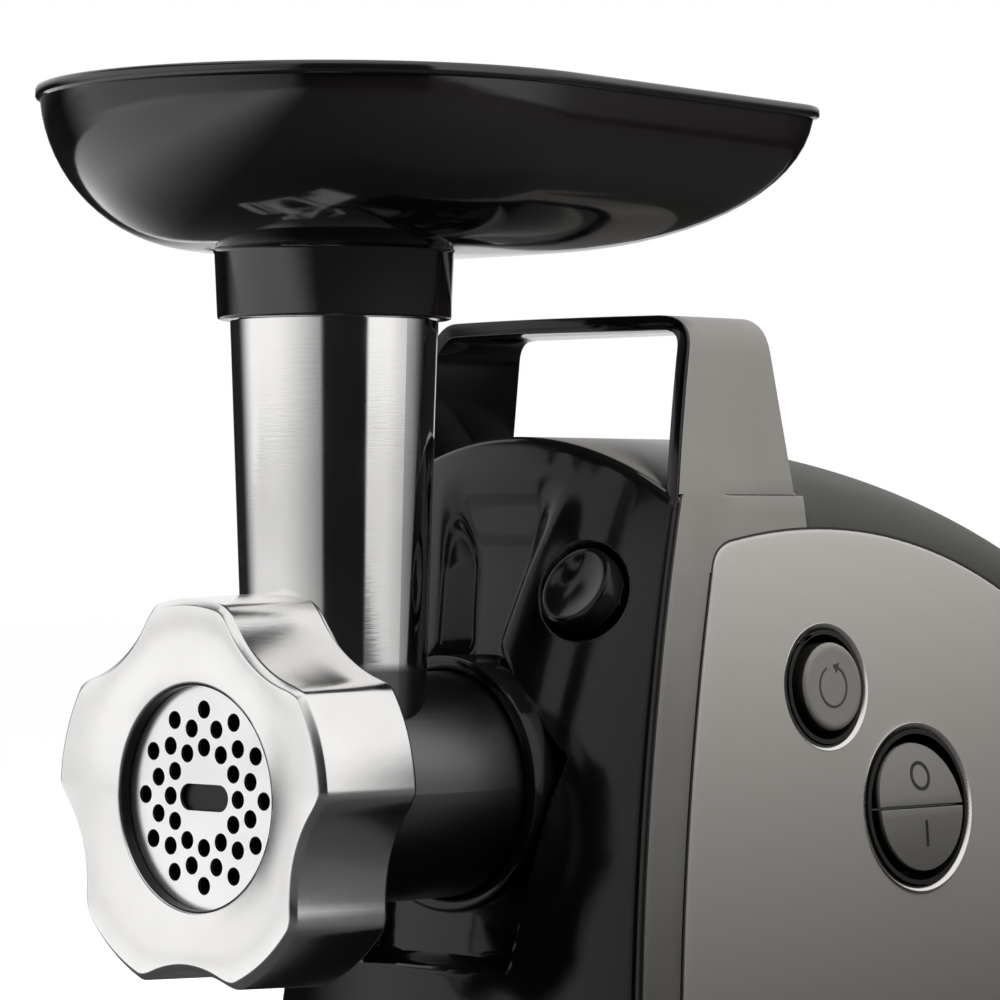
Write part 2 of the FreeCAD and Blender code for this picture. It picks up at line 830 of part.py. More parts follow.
def panel_outline(grow):
    # Side view: front edge along the frame band, a wide arc over the top, an upright rear edge.
    corner = d.panel_corner_r
    top_r = d.panel_arc_r + grow
    low = base_high + d.seam - grow
    rear = d.rear_reach - d.panel_tail + grow
    inset = d.frame_band + d.seam * 2 - grow
    knee_z = base_low + d.panel_arc_r - d.panel_knee_drop
    knee_y = front_y(inset, knee_z)
    shoulder_y = knee_y + corner

    def arc_z(y):
        run = y - d.rear_reach + d.panel_arc_tail
        return base_low + root(top_r * top_r - run * run)

    return [
        (front_y(inset, low), low), (rear, low), (rear, arc_z(rear), top_r),
        (shoulder_y, arc_z(shoulder_y), corner), (knee_y, knee_z, d.front_r - inset),
    ]


def on_side(piece, y, height):
    # Stands a piece on the right side, its axis square to the leaning panel.
    upright = 90 - slope_angle(d.side_lean)
    piece.Placement.Rotation = Rotation(Vector(0, 1, 0), upright.value)
    bind(piece, "Placement.Rotation.Angle", upright)
    return place(piece, half_width_at(height), y, height)


def make_shells():
    skin = cut("casing_skin", casing_out, casing_in, under_shells)
    bore_low, bore_high = -d.well_depth - d.switch_body_depth, d.well_depth
    wells = []
    for name, y, height, radius in (("reverse", d.reverse_y, d.reverse_height, d.reverse_well_r),
                                    ("power", d.power_y, d.power_height, d.power_well_r)):
        corners = [(0, bore_low), (radius, bore_low), (radius, bore_high), (0, bore_high)]
        wells.append(on_side(turned(name + "_bore", "XZ", corners), y, height))
    recess = cut("panel_recess", across("panel_gap", panel_outline(d.seam)), casing_panel)
    under_handle = block("frame_shoulder_zone", (-wide, wide), (-d.mouth_reach, -d.frame_shoulder),
                         (d.shoulder_height - d.frame_shoulder_drop, d.handle_top))
    behind_frame = cut("behind_frame", drum_frame, under_handle)
    keep("frame_band", cut("band_form", common("band_skin", skin, drum_wall), behind_frame, recess))
    cover = cut("cover_form", common("cover_skin", skin, behind_frame), recess)
    inlet_start = d.rear_reach - 2 * d.inlet_depth
    inlet = rod("inlet_bore", d.inlet_r, inlet_start, d.rear_reach + d.inlet_depth, d.inlet_height)
    keep("main_cover", cut("main_cover_cut", cover, *wells, inlet))
    outline = panel_outline(as_size(0))
    for side, low, high in (("left", -wide, as_size(0)), ("right", as_size(0), wide)):
        outline_prism = prism("panel_%s_prism" % side, "YZ", outline, low, high)
        sheet_form = common("panel_%s_skin" % side, casing_out, drum_panel, outline_prism)
        sheet_form = cut("panel_%s_form" % side, sheet_form, casing_panel, under_shells)
        if side == "right":
            sheet_form = cut("panel_right_cut", sheet_form, *wells)
        keep("side_panel_" + side, sheet_form)


# Grinding head

def make_head():
    thread_back = barrel_front + d.thread_length
    shoulder = thread_back + d.barrel_shoulder
    outside = place(turned("barrel_outside", "XY", [
        (0, barrel_front), (d.thread_r, barrel_front), (d.thread_r, thread_back),
        (barrel_r, shoulder), (barrel_r, barrel_back), (0, barrel_back)]), 0, 0, axis_z)
    tube = doc.addObject("Part::Cone", "tube_outside")
    bind(tube, "Radius1", d.tube_top_r - d.tube_draft * d.tube_rise)
    bind(tube, "Radius2", d.tube_top_r)
    bind(tube, "Height", d.tube_rise)
    place(tube, 0, tube_y, axis_z)
    spigot = post("tube_spigot", d.spigot_r, tube_top - d.cut_over, spigot_top, 0, tube_y)
    knife_bay = d.knife_r + d.knife_bay_gap
    bay_back = knife_back + d.knife_bay_gap / 2
    journal = d.journal_r + d.bearing_gap
    bore_front, bore_back = barrel_front - d.cut_over, barrel_back + d.cut_over
    bore = place(turned("barrel_bore", "XY", [
        (0, bore_front), (seat_r, bore_front), (seat_r, plate_back), (knife_bay, plate_back),
        (knife_bay, bay_back), (d.barrel_bore_r, bay_back), (d.barrel_bore_r, barrel_floor),
        (journal, barrel_floor), (journal, bore_back), (0, bore_back)]), 0, 0, axis_z)
    tube_bore = post("tube_bore", d.tube_bore_r, axis_z, spigot_top + d.cut_over, 0, tube_y)
    slot_half = d.latch_width / 2 + d.latch_gap
    slot = block("latch_slot_cut", (d.latch_x - slot_half, d.latch_x + slot_half),
                 (barrel_back - d.latch_slot, bore_back),
                 (axis_z + d.latch_low - d.release_travel, axis_z + 2 * barrel_r))
    key_half = d.key_width / 2
    key = block("plate_key", (-key_half, key_half), (barrel_front, plate_back), (key_low, key_top))
    casting = cut("head_cut", fuse("head_form", outside, tube, spigot), bore, tube_bore, slot)
    keep("grinder_head", fuse("grinder_head_form", casting, key))


def make_plate():
    body = turned("plate_disc", "XY", [(0, plate_front), (d.plate_r, plate_front), (d.plate_r, plate_back),
                                       (0, plate_back)])
    place(body, 0, 0, axis_z)
    sketch = new_sketch(body, "XZ", "plate_holes")
    pitch = 360 / d.holes_per_ring
    rings = ((d.hole_ring_inner, 0), (d.hole_ring_middle, pitch / 2), (d.hole_ring_outer, 0))
    for ring_r, first in rings:
        for index in range(int(d.holes_per_ring.value)):
            angle = first + index * pitch
            spot = (ring_r * cosine(angle), ring_r * sine(angle))
            centre = Vector(spot[0].value, spot[1].value, 0)
            circle = Part.Circle(centre, Vector(0, 0, 1), d.plate_hole_r.value)
            number = sketch.addGeometry(circle, False)
            for kind, size in zip(("DistanceX", "DistanceY"), spot):
                held = sketch.addConstraint(Sketcher.Constraint(kind, -1, 1, number, 3, size.value))
                bind(sketch, "Constraints[%d]" % held, size)
            held = sketch.addConstraint(Sketcher.Constraint("Radius", number, d.plate_hole_r.value))
            bind(sketch, "Constraints[%d]" % held, d.plate_hole_r)
    pocket = body.newObject("PartDesign::Pocket", "plate_pocket")
    pocket.Profile = sketch
    pocket.Type = "ThroughAll"
    pocket.SideType = "Symmetric"
    half_slot = d.plate_slot_width / 2
    straight = d.plate_slot_length / 2 - half_slot
    over_front, over_back = plate_front - d.cut_over, plate_back + d.cut_over
    slot_floor = plate_front + d.plate_slot_depth
    slot = fuse(
        "plate_slot",
        block("plate_slot_bar", (-straight, straight), (over_front, slot_floor),
              (axis_z - half_slot, axis_z + half_slot)),
        rod("plate_slot_left", half_slot, over_front, slot_floor, axis_z, -straight),
        rod("plate_slot_right", half_slot, over_front, slot_floor, axis_z, straight))
    bush_front = plate_back - d.pin_length - d.running_gap
    bush = rod("plate_bush", d.pin_r + d.bearing_gap, bush_front, over_back, axis_z)
    notch_half = d.key_width / 2 + d.running_gap
    notch = block("plate_notch", (-notch_half, notch_half), (over_front, over_back),
                  (key_low, key_top + d.running_gap))
    keep("screen_plate", cut("screen_plate_cut", body, slot, bush, notch))


def make_ring():
    lip_back = plate_front - d.running_gap
    inside = d.thread_r + d.thread_gap
    back = mouth + d.ring_depth
    blank = place(turned("ring_blank", "XY", [
        (d.mouth_r, opening_y), (d.ring_r - d.ring_edge * 2, mouth), (d.ring_r - d.ring_edge, mouth),
        (d.ring_r, mouth + d.ring_edge), (d.ring_r + d.ring_draft, back), (inside, back),
        (inside, lip_back), (d.mouth_r, lip_back)]), 0, 0, axis_z)
    reach = d.scallop_floor_r + d.scallop_r
    over_front, over_back = mouth - d.cut_over, back + d.cut_over
    scallops = []
    for index in range(int(d.ring_lobes.value)):
        turn = 360 / d.ring_lobes * (index + 0.5)
        scallops.append(rod("scallop%d" % index, d.scallop_r, over_front, over_back,
                            axis_z + reach * cosine(turn), reach * sine(turn)))
    keep("ring_nut", cut("ring_nut_cut", blank, *scallops))


def make_auger_and_knife():
    shoulder = knife_back
    rear = barrel_floor - d.running_gap - d.washer_thick
    square_half = d.knife_square / 2
    core = place(turned("auger_core", "XY", [
        (0, shoulder), (d.core_front_r, shoulder), (d.core_rear_r, rear), (0, rear)]), 0, 0, axis_z)
    flight_r = d.barrel_bore_r - d.flight_gap
    start = shoulder + d.flight_start
    sunk_r = d.core_front_r - d.flight_sink
    taper = (d.flight_root - d.flight_tip) / 2
    sketch = draw_outline(new_sketch(core, "XY", "flight_profile"), [
        (sunk_r, start), (flight_r, start + taper), (flight_r, start + taper + d.flight_tip),
        (sunk_r, start + d.flight_root)])
    flight = core.newObject("PartDesign::AdditiveHelix", "auger_flight")
    flight.Profile = sketch
    flight.ReferenceAxis = (sketch, ["V_Axis"])
    flight.Mode = "pitch-height-angle"
    bind(flight, "Pitch", d.flight_pitch)
    bind(flight, "Height", rear - start - d.flight_root - d.flight_end)
    square = block("auger_square", (-square_half, square_half), (knife_front, shoulder + d.cut_over),
                   (axis_z - square_half, axis_z + square_half))
    pin = rod("auger_pin", d.pin_r, plate_back - d.pin_length, knife_front + d.cut_over, axis_z)
    journal_end = barrel_back + d.shaft_gap / 2
    journal = rod("auger_journal", d.journal_r, rear - d.cut_over, journal_end, axis_z)
    drive_half = d.drive_square / 2
    tang = block("auger_tang", (-drive_half, drive_half), (barrel_back, barrel_back + d.shaft_socket),
                 (axis_z - drive_half, axis_z + drive_half))
    keep("auger", fuse("auger_form", core, square, pin, journal, tang))
    washer_hole = d.journal_r + d.bearing_gap
    washer_back = rear + d.washer_thick
    keep("thrust_washer", ring_about_y("washer_ring", washer_hole, d.washer_r, rear, washer_back, axis_z))
    blade_half = d.knife_blade / 2
    blade_reach = d.knife_r - d.knife_tip
    hub = rod("knife_hub", d.knife_square, knife_front, knife_back, axis_z)
    blades = [
        block("knife_bar_x", (-blade_reach, blade_reach), (knife_front, knife_back),
              (axis_z - blade_half, axis_z + blade_half)),
        block("knife_bar_z", (-blade_half, blade_half), (knife_front, knife_back),
              (axis_z - blade_reach, axis_z + blade_reach)),
    ]
    hole_half = square_half + d.square_gap
    hole = block("knife_hole", (-hole_half, hole_half), (knife_front - d.cut_over, knife_back + d.cut_over),
                 (axis_z - hole_half, axis_z + hole_half))
    keep("knife", cut("knife_cut", fuse("knife_form", hub, *blades), hole))


# Tray

def tray_wire(front_r, rear_half, rear_y, corner, height):
    # Plan outline: round front about the tube, straight sides, rounded rear corners.
    centre = Vector(0, tube_y.value, height)
    rear = Vector(rear_half - corner, rear_y - corner, height)
    apart = rear - centre
    turn = math.atan2(apart.y, apart.x) - math.acos((front_r - corner) / apart.Length)
    normal = Vector(math.cos(turn), math.sin(turn), 0)
    front_tip = centre + Vector(0, -front_r, 0)
    side_front = centre + normal * front_r
    side_rear = rear + normal * corner
    corner_end = rear + Vector(0, corner, 0)

    def around(start, end, middle, radius):
        bisector = ((start - middle) + (end - middle)).normalize()
        return Part.Arc(start, middle + bisector * radius, end).toShape()

    def other(point):
        return Vector(-point.x, point.y, point.z)

    edges = [
        around(front_tip, side_front, centre, front_r),
        Part.makeLine(side_front, side_rear),
        around(side_rear, corner_end, rear, corner),
        Part.makeLine(corner_end, other(corner_end)),
        around(other(corner_end), other(side_rear), other(rear), corner),
        Part.makeLine(other(side_rear), other(side_front)),
        around(other(side_front), front_tip, centre, front_r),
    ]
    return Part.Wire(edges)


def tray_bowl(inset, floor, rim):
    # A bowl whose section is a quarter circle, drawn out to a slope at the rear.
    depth = rim - floor
    sections = []
    steps = 6
    for step in range(steps + 1):
        angle = math.pi / 2 * step / steps
        inward = depth * (1 - math.sin(angle))
        height = floor + depth * (1 - math.cos(angle))
        share = inward / depth
        sections.append(tray_wire(
            d.tray_r.value - inset - inward,
            d.tray_rear_half.value - inset - inward * d.tray_side_slope.value,
            d.tray_rear.value - inset - inward * d.tray_rear_slope.value,
            d.tray_corner_r.value - inset - share * d.tray_corner_taper.value, height))
    return Part.makeLoft(sections, True, False)


def make_tray():
    floor = tube_top + d.collar_height
    rim = floor + d.tray_depth
    outer = solid("tray_outer", tray_bowl(0, floor.value, rim.value))
    wall = d.tray_wall.value
    inner = solid("tray_inner", tray_bowl(wall, floor.value + wall, (rim + d.bearing_gap).value))
    lip_wire = tray_wire(d.tray_r.value + d.tray_lip.value, d.tray_rear_half.value + d.tray_lip.value,
                         d.tray_rear.value + d.tray_lip.value, d.tray_corner_r.value,
                         (rim - d.tray_lip_height).value)
    lip = solid("tray_lip", Part.Face(lip_wire).extrude(Vector(0, 0, d.tray_lip_height.value)))
    seat = tube_top + d.running_gap
    under_seat = seat - d.cut_over
    collar_top = floor + d.tray_wall
    collar = place(turned("tray_collar", "XZ", [
        (0, seat), (d.collar_low_r, seat), (d.collar_top_r, collar_top), (0, collar_top)]), 0, tube_y, 0)
    socket_top = spigot_top + d.running_gap
    socket = post("collar_socket", d.spigot_r + d.running_gap, under_seat, socket_top, 0, tube_y)
    throat = post("tray_throat", d.tube_bore_r, under_seat, rim, 0, tube_y)
    hollow = cut("tray_hollow", fuse("tray_form", outer, lip), inner)
    keep("hopper_tray", cut("hopper_tray_cut", fuse("tray_with_collar", hollow, collar), socket, throat))


# Release button and latch

def coil_spring(name, low, high):
    # A coil about Z in the space from low to high, clear of what moves at the high end.
    wire_r = d.spring_wire_r.value
    coil_r = d.spring_r.value
    start = (low + d.bearing_gap).value + wire_r
    rise = (high - d.running_gap).value - wire_r - start
    path = Part.Wire(Part.makeLongHelix(rise / d.spring_turns.value, rise, coil_r).Edges)
    path.translate(Vector(0, 0, start))
    section = Part.Wire(Part.makeCircle(wire_r, Vector(coil_r, 0, start), Vector(0, 1, 0)))
    return solid(name, path.makePipeShell([section], True, True))


def make_release():
    proud = d.release_proud
    edge, bevel, stem_r = d.release_r, d.cap_edge, d.release_stem_r
    dish = proud - d.cap_dish
    button = on_button_axis(turned("release_cap", "XZ", [
        (0, dish), (edge - 4 * bevel, dish), (edge - 2 * bevel, proud), (edge - bevel, proud),
        (edge, proud - bevel), (edge, -d.release_skirt), (stem_r, -d.release_skirt),
        (stem_r, -d.release_stem), (0, -d.release_stem)]))
    keep("release_button", button)
    keep("release_spring", on_button_axis(coil_spring("release_coil", -d.release_bay, -d.release_skirt)))
    arm_y = barrel_back + d.latch_set
    half = d.latch_width / 2
    low, high = axis_z + d.latch_low, axis_z + d.latch_rise
    finger_top = low + d.latch_finger
    left, right = d.latch_x - half, d.latch_x + half
    head_left, head_right = d.release_x - d.latch_width, d.release_x + d.latch_width
    head_low = high - 2 * d.latch_width
    arm = prism("latch_arm", "XZ", [
        (left, low), (right, low), (right, finger_top), (head_right, head_low), (head_right, high),
        (head_left, high), (left, finger_top + d.latch_finger)], arm_y, arm_y + d.latch_thick)
    finger_front = barrel_back - d.latch_slot + d.running_gap
    finger_back = arm_y + d.latch_thick / 2
    finger = block("latch_finger", (left, right), (finger_front, finger_back), (low, finger_top))
    keep("release_latch", cut("release_latch_cut", fuse("latch_form", arm, finger), button))


# Switches on the right side

def well_cup(name, radius, floor_hole):
    inner = radius - d.well_wall
    outer = radius - d.bearing_gap
    floor = d.well_wall - d.well_depth
    return turned(name, "XZ", [
        (floor_hole, -d.well_depth), (outer, -d.well_depth), (outer, d.well_lip), (inner, d.well_lip),
        (inner, floor), (floor_hole, floor)])


def make_reverse_switch():
    y, height = d.reverse_y, d.reverse_height
    stem_r = d.reverse_stem_r
    stem_hole = stem_r + d.running_gap
    keep("reverse_well", on_side(well_cup("reverse_cup", d.reverse_well_r, stem_hole), y, height))
    proud, edge, bevel = d.reverse_proud, d.reverse_button_r, d.cap_edge
    dish = proud - d.cap_dish / 3
    stem_end = -d.well_depth - d.reverse_stem_reach
    button = turned("reverse_cap", "XZ", [
        (0, dish), (edge - 3 * bevel, dish), (edge - bevel, proud), (edge, proud - d.cap_dish),
        (edge, -d.reverse_skirt), (stem_r, -d.reverse_skirt), (stem_r, stem_end), (0, stem_end)])
    keep("reverse_button", on_side(button, y, height))
    keep("reverse_spring", on_side(coil_spring(
        "reverse_coil", d.well_wall - d.well_depth, -d.reverse_skirt), y, height))
    contact = stem_end - d.reverse_travel - d.running_gap
    low = -d.well_depth - d.switch_body_depth
    body = turned("reverse_body", "XZ", [
        (0, low), (d.reverse_body_r, low), (d.reverse_body_r, -d.well_depth), (stem_hole, -d.well_depth),
        (stem_hole, contact), (0, contact)])
    keep("reverse_switch", on_side(body, y, height))


def make_power_switch():
    y, height = d.power_y, d.power_height
    lean_r = root(1 + d.side_lean * d.side_lean)
    pin_x = half_width_at(height) - d.rocker_pivot_depth / lean_r
    pin_z = height - d.rocker_pivot_depth * d.side_lean / lean_r
    pin_reach = d.power_well_r - d.well_wall / 2
    pin = rod("rocker_axle", d.well_pin_r, y - pin_reach, y + pin_reach, pin_z, pin_x)
    keep("rocker_pin", pin)
    well = on_side(well_cup("power_cup", d.power_well_r, d.power_floor_hole), y, height)
    keep("power_well", cut("power_well_cut", well, pin))
    top, low = -d.well_depth, -d.well_depth - d.switch_body_depth
    body_r = d.switch_body_r
    body = turned("power_body", "XZ", [(0, low), (body_r, low), (body_r, top), (0, top)])
    keep("power_switch", on_side(body, y, height))
    # The rocker lies in its off position: the upper half flush, the lower half standing out.
    far = d.power_well_r * 1.5
    blank = turned("rocker_blank", "XZ", [
        (0, -d.rocker_low), (d.rocker_r, -d.rocker_low), (d.rocker_r, far), (0, far)])
    above = prism("rocker_above", "XZ", [
        (-far, d.rocker_proud), (0, d.rocker_proud), (far, d.rocker_proud + d.rocker_slope * far),
        (far, 2 * far), (-far, 2 * far)], -far, far)
    bore = rod("rocker_bore", d.well_pin_r + d.bearing_gap, -far, far, -d.rocker_pivot_depth)
    keep("power_rocker", on_side(cut("power_rocker_cut", blank, above, bore), y, height))


# Gear train

def involute_outline(teeth, module, addendum, dedendum, first):
    # Tooth outline in the XZ plane; first is the angle of one tooth from straight up.
    pitch_r = teeth * module / 2
    pressure = math.radians(d.pressure_angle.value)
    base_r = pitch_r * math.cos(pressure)
    tip_r = pitch_r + addendum * module
    root_r = pitch_r - dedendum * module
    half_tooth = math.pi / (2 * teeth) - d.backlash.value / (4 * pitch_r)

    def half_angle(radius):
        unrolled = math.acos(min(1, base_r / radius))
        return half_tooth + math.tan(pressure) - pressure - math.tan(unrolled) + unrolled

    low_r = max(base_r, root_r)
    flank = [low_r + (tip_r - low_r) * step / 4 for step in range(5)]
    radii = flank if low_r == root_r else [root_r] + flank
    points = []
    for tooth in range(teeth):
        middle = first + 2 * math.pi * tooth / teeth
        for side, path in ((-1, radii), (1, radii[::-1])):
            for radius in path:
                angle = middle + side * half_angle(max(radius, base_r))
                points.append(Vector(radius * math.sin(angle), 0, radius * math.cos(angle)))
    return Part.Wire(Part.makePolygon(points + points[:1]))


def gear(name, teeth, module, is_pinion, first, bore_r, start, end, z, x=0):
    tip, mating_tip = d.wheel_addendum, d.pinion_addendum
    if is_pinion:
        tip, mating_tip = mating_tip, tip
    root_depth = mating_tip + d.tooth_clearance
    outline = involute_outline(int(teeth.value), module.value, tip.value, root_depth.value, first)
    blank = Part.Face(outline).extrude(Vector(0, (end - start).value, 0))
    bore = Part.makeCylinder(bore_r.value, (end - start).value, Vector(0, 0, 0), Vector(0, 1, 0))
    return place(solid(name, blank.cut(bore)), x, start, z)


def space_facing(teeth, direction):
    # Angle of a tooth that leaves a tooth space facing the given direction.
    return direction + math.pi / teeth.value


def make_gear_case():
    wheel_bay = wheel_r + d.wheel_addendum * d.wheel_module + d.case_margin
    second_bay = second_r + d.wheel_addendum * d.second_module + d.case_margin
    shells = []
    for name, z, bay in (("wheel", axis_z, wheel_bay), ("second", second_z, second_bay)):
        shells.append((rod(name + "_case", bay + d.case_wall, case_front, lid_front, z),
                       rod(name + "_bay", bay, case_inner, lid_front + d.cut_over, z),
                       rod(name + "_lid", bay + d.case_wall, lid_front, lid_back, z)))
    half = d.case_foot_half
    foot = block("case_foot", (-half, half), (case_front, lid_front), (base_high, second_z))
    boss = rod("case_boss", d.bush_r + d.case_wall, case_front - d.bush_boss, case_inner, axis_z)
    boss_over, inner_over = case_front - d.bush_boss - d.cut_over, case_inner + d.cut_over
    front_bush = rod("case_bush_hole", d.bush_r, boss_over, inner_over, axis_z)
    lid_over, back_over = lid_front - d.cut_over, lid_back + d.cut_over
    second_hole = rod("case_second_hole", d.second_bush_r, case_front - d.cut_over, back_over, second_z)
    form = fuse("case_form", foot, boss, *(outer for outer, _, _ in shells))
    keep("gear_case", cut("gear_case_cut", form, front_bush, second_hole, *(bay for _, bay, _ in shells)))
    pinion_r = (d.motor_pinion_teeth / 2 + d.pinion_addendum) * d.second_module
    pinion_hole = rod("lid_pinion_hole", pinion_r + d.running_gap, lid_over, back_over, motor_z, motor_x)
    rear_bush = rod("lid_bush_hole", d.bush_r, lid_over, back_over, axis_z)
    lid = fuse("lid_form", *(plate for _, _, plate in shells))
    keep("gear_case_lid", cut("gear_case_lid_cut", lid, pinion_hole, rear_bush, second_hole))
    shaft_hole = d.shaft_r + d.bearing_gap
    keep("output_bushes", group("output_bush_pair", [
        ring_about_y("front_bush", shaft_hole, d.bush_r, case_front - d.bush_boss, case_inner, axis_z),
        ring_about_y("rear_bush", shaft_hole, d.bush_r, lid_front, lid_back, axis_z)]))
    second_hole_r = d.second_shaft_r + d.bearing_gap
    keep("layshaft_bushes", group("layshaft_bush_pair", [
        ring_about_y("lay_front_bush", second_hole_r, d.second_bush_r, case_front, case_inner, second_z),
        ring_about_y("lay_rear_bush", second_hole_r, d.second_bush_r, lid_front, lid_back, second_z)]))


def make_gears():
    wheel_start = case_inner + d.gear_gap
    wheel_end = wheel_start + d.wheel_width
    second_end = lid_front - d.gear_gap
    second_start = second_end - d.second_width
    keep("output_gear", gear("wheel_teeth_form", d.wheel_teeth, d.wheel_module, False,
                             space_facing(d.wheel_teeth, math.pi), d.shaft_r,
                             wheel_start, wheel_end, axis_z))
    keep("layshaft_pinion", gear("second_pinion_form", d.second_pinion_teeth, d.wheel_module, True, 0,
                                 d.second_shaft_r, wheel_start, wheel_end, second_z))
    keep("layshaft_gear", gear("second_wheel_form", d.second_teeth, d.second_module, False, 0,
                               d.second_shaft_r, second_start, second_end, second_z))
    to_layshaft = math.pi + math.radians(motor_turn.value)
    keep("motor_pinion", gear("motor_pinion_form", d.motor_pinion_teeth, d.second_module, True,
                              space_facing(d.motor_pinion_teeth, to_layshaft), d.motor_shaft_r,
                              second_start - d.pinion_over, second_end + d.pinion_over, motor_z, motor_x))
    shaft_front = barrel_back + d.shaft_gap
    half = d.drive_square / 2 + d.square_gap
    end_gap = d.shaft_gap / 2
    socket_floor = barrel_back + d.shaft_socket + end_gap
    socket = block("shaft_socket_cut", (-half, half), (shaft_front - d.cut_over, socket_floor),
                   (axis_z - half, axis_z + half))
    keep("output_shaft", cut("output_shaft_cut", rod(
        "output_rod", d.shaft_r, shaft_front, lid_back - d.running_gap, axis_z), socket))
    lay_front, lay_back = case_front + end_gap, lid_back - end_gap
    keep("layshaft", rod("layshaft_rod", d.second_shaft_r, lay_front, lay_back, second_z))


# Motor

front_plate_back = lid_back + d.plate_metal
fan_start = front_plate_back + d.motor_gap
fan_end = fan_start + d.fan_length
stator_start = fan_end + d.motor_gap + d.coil_reach
stator_end = stator_start + d.stator_length
commutator_start = stator_end + d.coil_reach + d.motor_gap
commutator_end = commutator_start + d.commutator_length
rear_plate_front = commutator_end + d.motor_gap
rear_plate_back = rear_plate_front + d.plate_metal


def motor_ring(name, inner, outer, start, end):
    return ring_about_y(name, inner, outer, start, end, motor_z, motor_x)


def make_motor_frame():
    reach = d.tie_ring_r / math.sqrt(2)
    spots = [(motor_x + x * reach, motor_z + z * reach) for x in (-1, 1) for z in (-1, 1)]
    tie_end = rear_plate_back + d.tie_r
    ties = [rod("tie%d" % index, d.tie_r, lid_back, tie_end, z, x) for index, (x, z) in enumerate(spots)]
    keep("tie_rods", group("tie_rod_group", ties))
    bearing = d.motor_bearing_r
    front = motor_ring("front_plate_disc", bearing, d.motor_r, lid_back, front_plate_back)
    keep("motor_front_plate", cut("front_plate_cut", front, *ties))
    rear_r = d.motor_r - d.rear_plate_trim
    rear_disc = motor_ring("rear_plate_disc", bearing, rear_r, rear_plate_front, rear_plate_back)
    half = d.motor_foot_half
    foot = block("rear_plate_foot", (motor_x - half, motor_x + half), (rear_plate_front, rear_plate_back),
                 (base_high, motor_z - (d.motor_r + d.tie_ring_r) / 2))
    keep("motor_rear_plate", cut("rear_plate_cut", fuse("rear_plate_form", rear_disc, foot), *ties))
    shaft_hole = d.motor_shaft_r + d.bearing_gap
    keep("motor_bearings", group("motor_bearing_pair", [
        motor_ring("front_bearing", shaft_hole, bearing, lid_back, front_plate_back),
        motor_ring("rear_bearing", shaft_hole, bearing, rear_plate_front, rear_plate_back)]))
    core = motor_ring("stator_ring", d.stator_bore_r, d.motor_r, stator_start, stator_end)
    keep("stator", cut("stator_cut", core, *ties))
    coil_in = d.stator_bore_r + d.air_gap
    coil_out = d.tie_ring_r - d.tie_r - d.air_gap
    keep("field_coils", group("field_coil_pair", [
        motor_ring("front_coil", coil_in, coil_out, stator_start - d.coil_reach, stator_start),
        motor_ring("rear_coil", coil_in, coil_out, stator_end, stator_end + d.coil_reach)]))


def make_brushes():
    side = d.brush_side / 2
    wall = d.well_wall
    middle = (commutator_start + commutator_end) / 2
    inner = d.commutator_r + d.running_gap
    low, high = motor_z - side, motor_z + side
    holders, brushes = [], []
    for name, sign in (("left", -1), ("right", 1)):
        def span(near, far):
            ends = (motor_x + sign * near, motor_x + sign * far)
            return ends if sign > 0 else ends[::-1]

        brush = block(name + "_brush", span(inner, inner + d.brush_length),
                      (middle - side, middle + side), (low, high))
        shell = block(name + "_holder", span(inner + wall, d.tie_ring_r),
                      (middle - side - wall, rear_plate_front), (low - wall, high + wall))
        brushes.append(brush)
        holders.append(cut(name + "_holder_cut", shell, brush))
    keep("brush_holders", group("holder_pair", holders))
    keep("carbon_brushes", group("brush_pair", brushes))


def make_rotor():
    shaft_r = d.motor_shaft_r
    pinion_front = lid_front - d.gear_gap - d.second_width - d.pinion_over
    shaft_end = rear_plate_back + shaft_r
    keep("motor_shaft", rod("motor_rod", shaft_r, pinion_front, shaft_end, motor_z, motor_x))
    core_r = d.stator_bore_r - d.air_gap
    keep("armature", motor_ring("armature_core", shaft_r, core_r, stator_start, stator_end))
    coil_r = core_r - shaft_r
    coil_reach = d.coil_reach - d.air_gap
    keep("armature_coils", group("armature_coil_pair", [
        motor_ring("rotor_front_coil", shaft_r, coil_r, stator_start - coil_reach, stator_start),
        motor_ring("rotor_rear_coil", shaft_r, coil_r, stator_end, stator_end + coil_reach)]))
    bars_r = d.commutator_r
    keep("commutator", motor_ring("commutator_ring", shaft_r, bars_r, commutator_start, commutator_end))
    hub_r = d.motor_bearing_r
    hub = motor_ring("fan_hub", shaft_r, hub_r, fan_start, fan_end)
    disc = motor_ring("fan_disc", shaft_r, d.fan_r, fan_start, fan_start + d.fan_sheet)
    blade_root = hub_r - d.fan_sheet
    blades = []
    for index in range(int(d.fan_blades.value)):
        turn = index * 360 / d.fan_blades
        blade = block("fan_blade%d" % index, (as_size(0), d.fan_sheet), (fan_start, fan_end),
                      (blade_root, d.fan_r))
        blade.Placement.Rotation = Rotation(Vector(0, 1, 0), turn.value)
        foot_x, foot_z = motor_x + blade_root * sine(turn), motor_z + blade_root * cosine(turn)
        blades.append(place(blade, foot_x, fan_start, foot_z))
    keep("cooling_fan", fuse("cooling_fan_form", hub, disc, *blades))


for make in (make_base, make_circuit_board, make_cord_inlet, make_head, make_plate, make_ring,
             make_auger_and_knife, make_tray, make_release, make_reverse_switch, make_power_switch,
             make_shells, make_gear_case, make_gears, make_motor_frame, make_brushes, make_rotor):
    make()
make_front(make_handle())

doc.recompute()
for item in doc.Objects:
    if "Invalid" in item.State or "Error" in item.State:
        raise RuntimeError("%s did not build: %s" % (item.Label, item.State))
for label, piece in nodes.items():
    if piece.Shape.isNull() or not piece.Shape.isValid():
        raise RuntimeError(label + " has no valid shape")

os.makedirs("parts", exist_ok=True)
for label, piece in nodes.items():
    piece.Shape.exportStep("parts/%s.step" % label)
    print(label, len(piece.Shape.Solids), round(piece.Shape.Volume))
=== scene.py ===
import json
import math

import bmesh
import bpy
from mathutils import Matrix, Vector


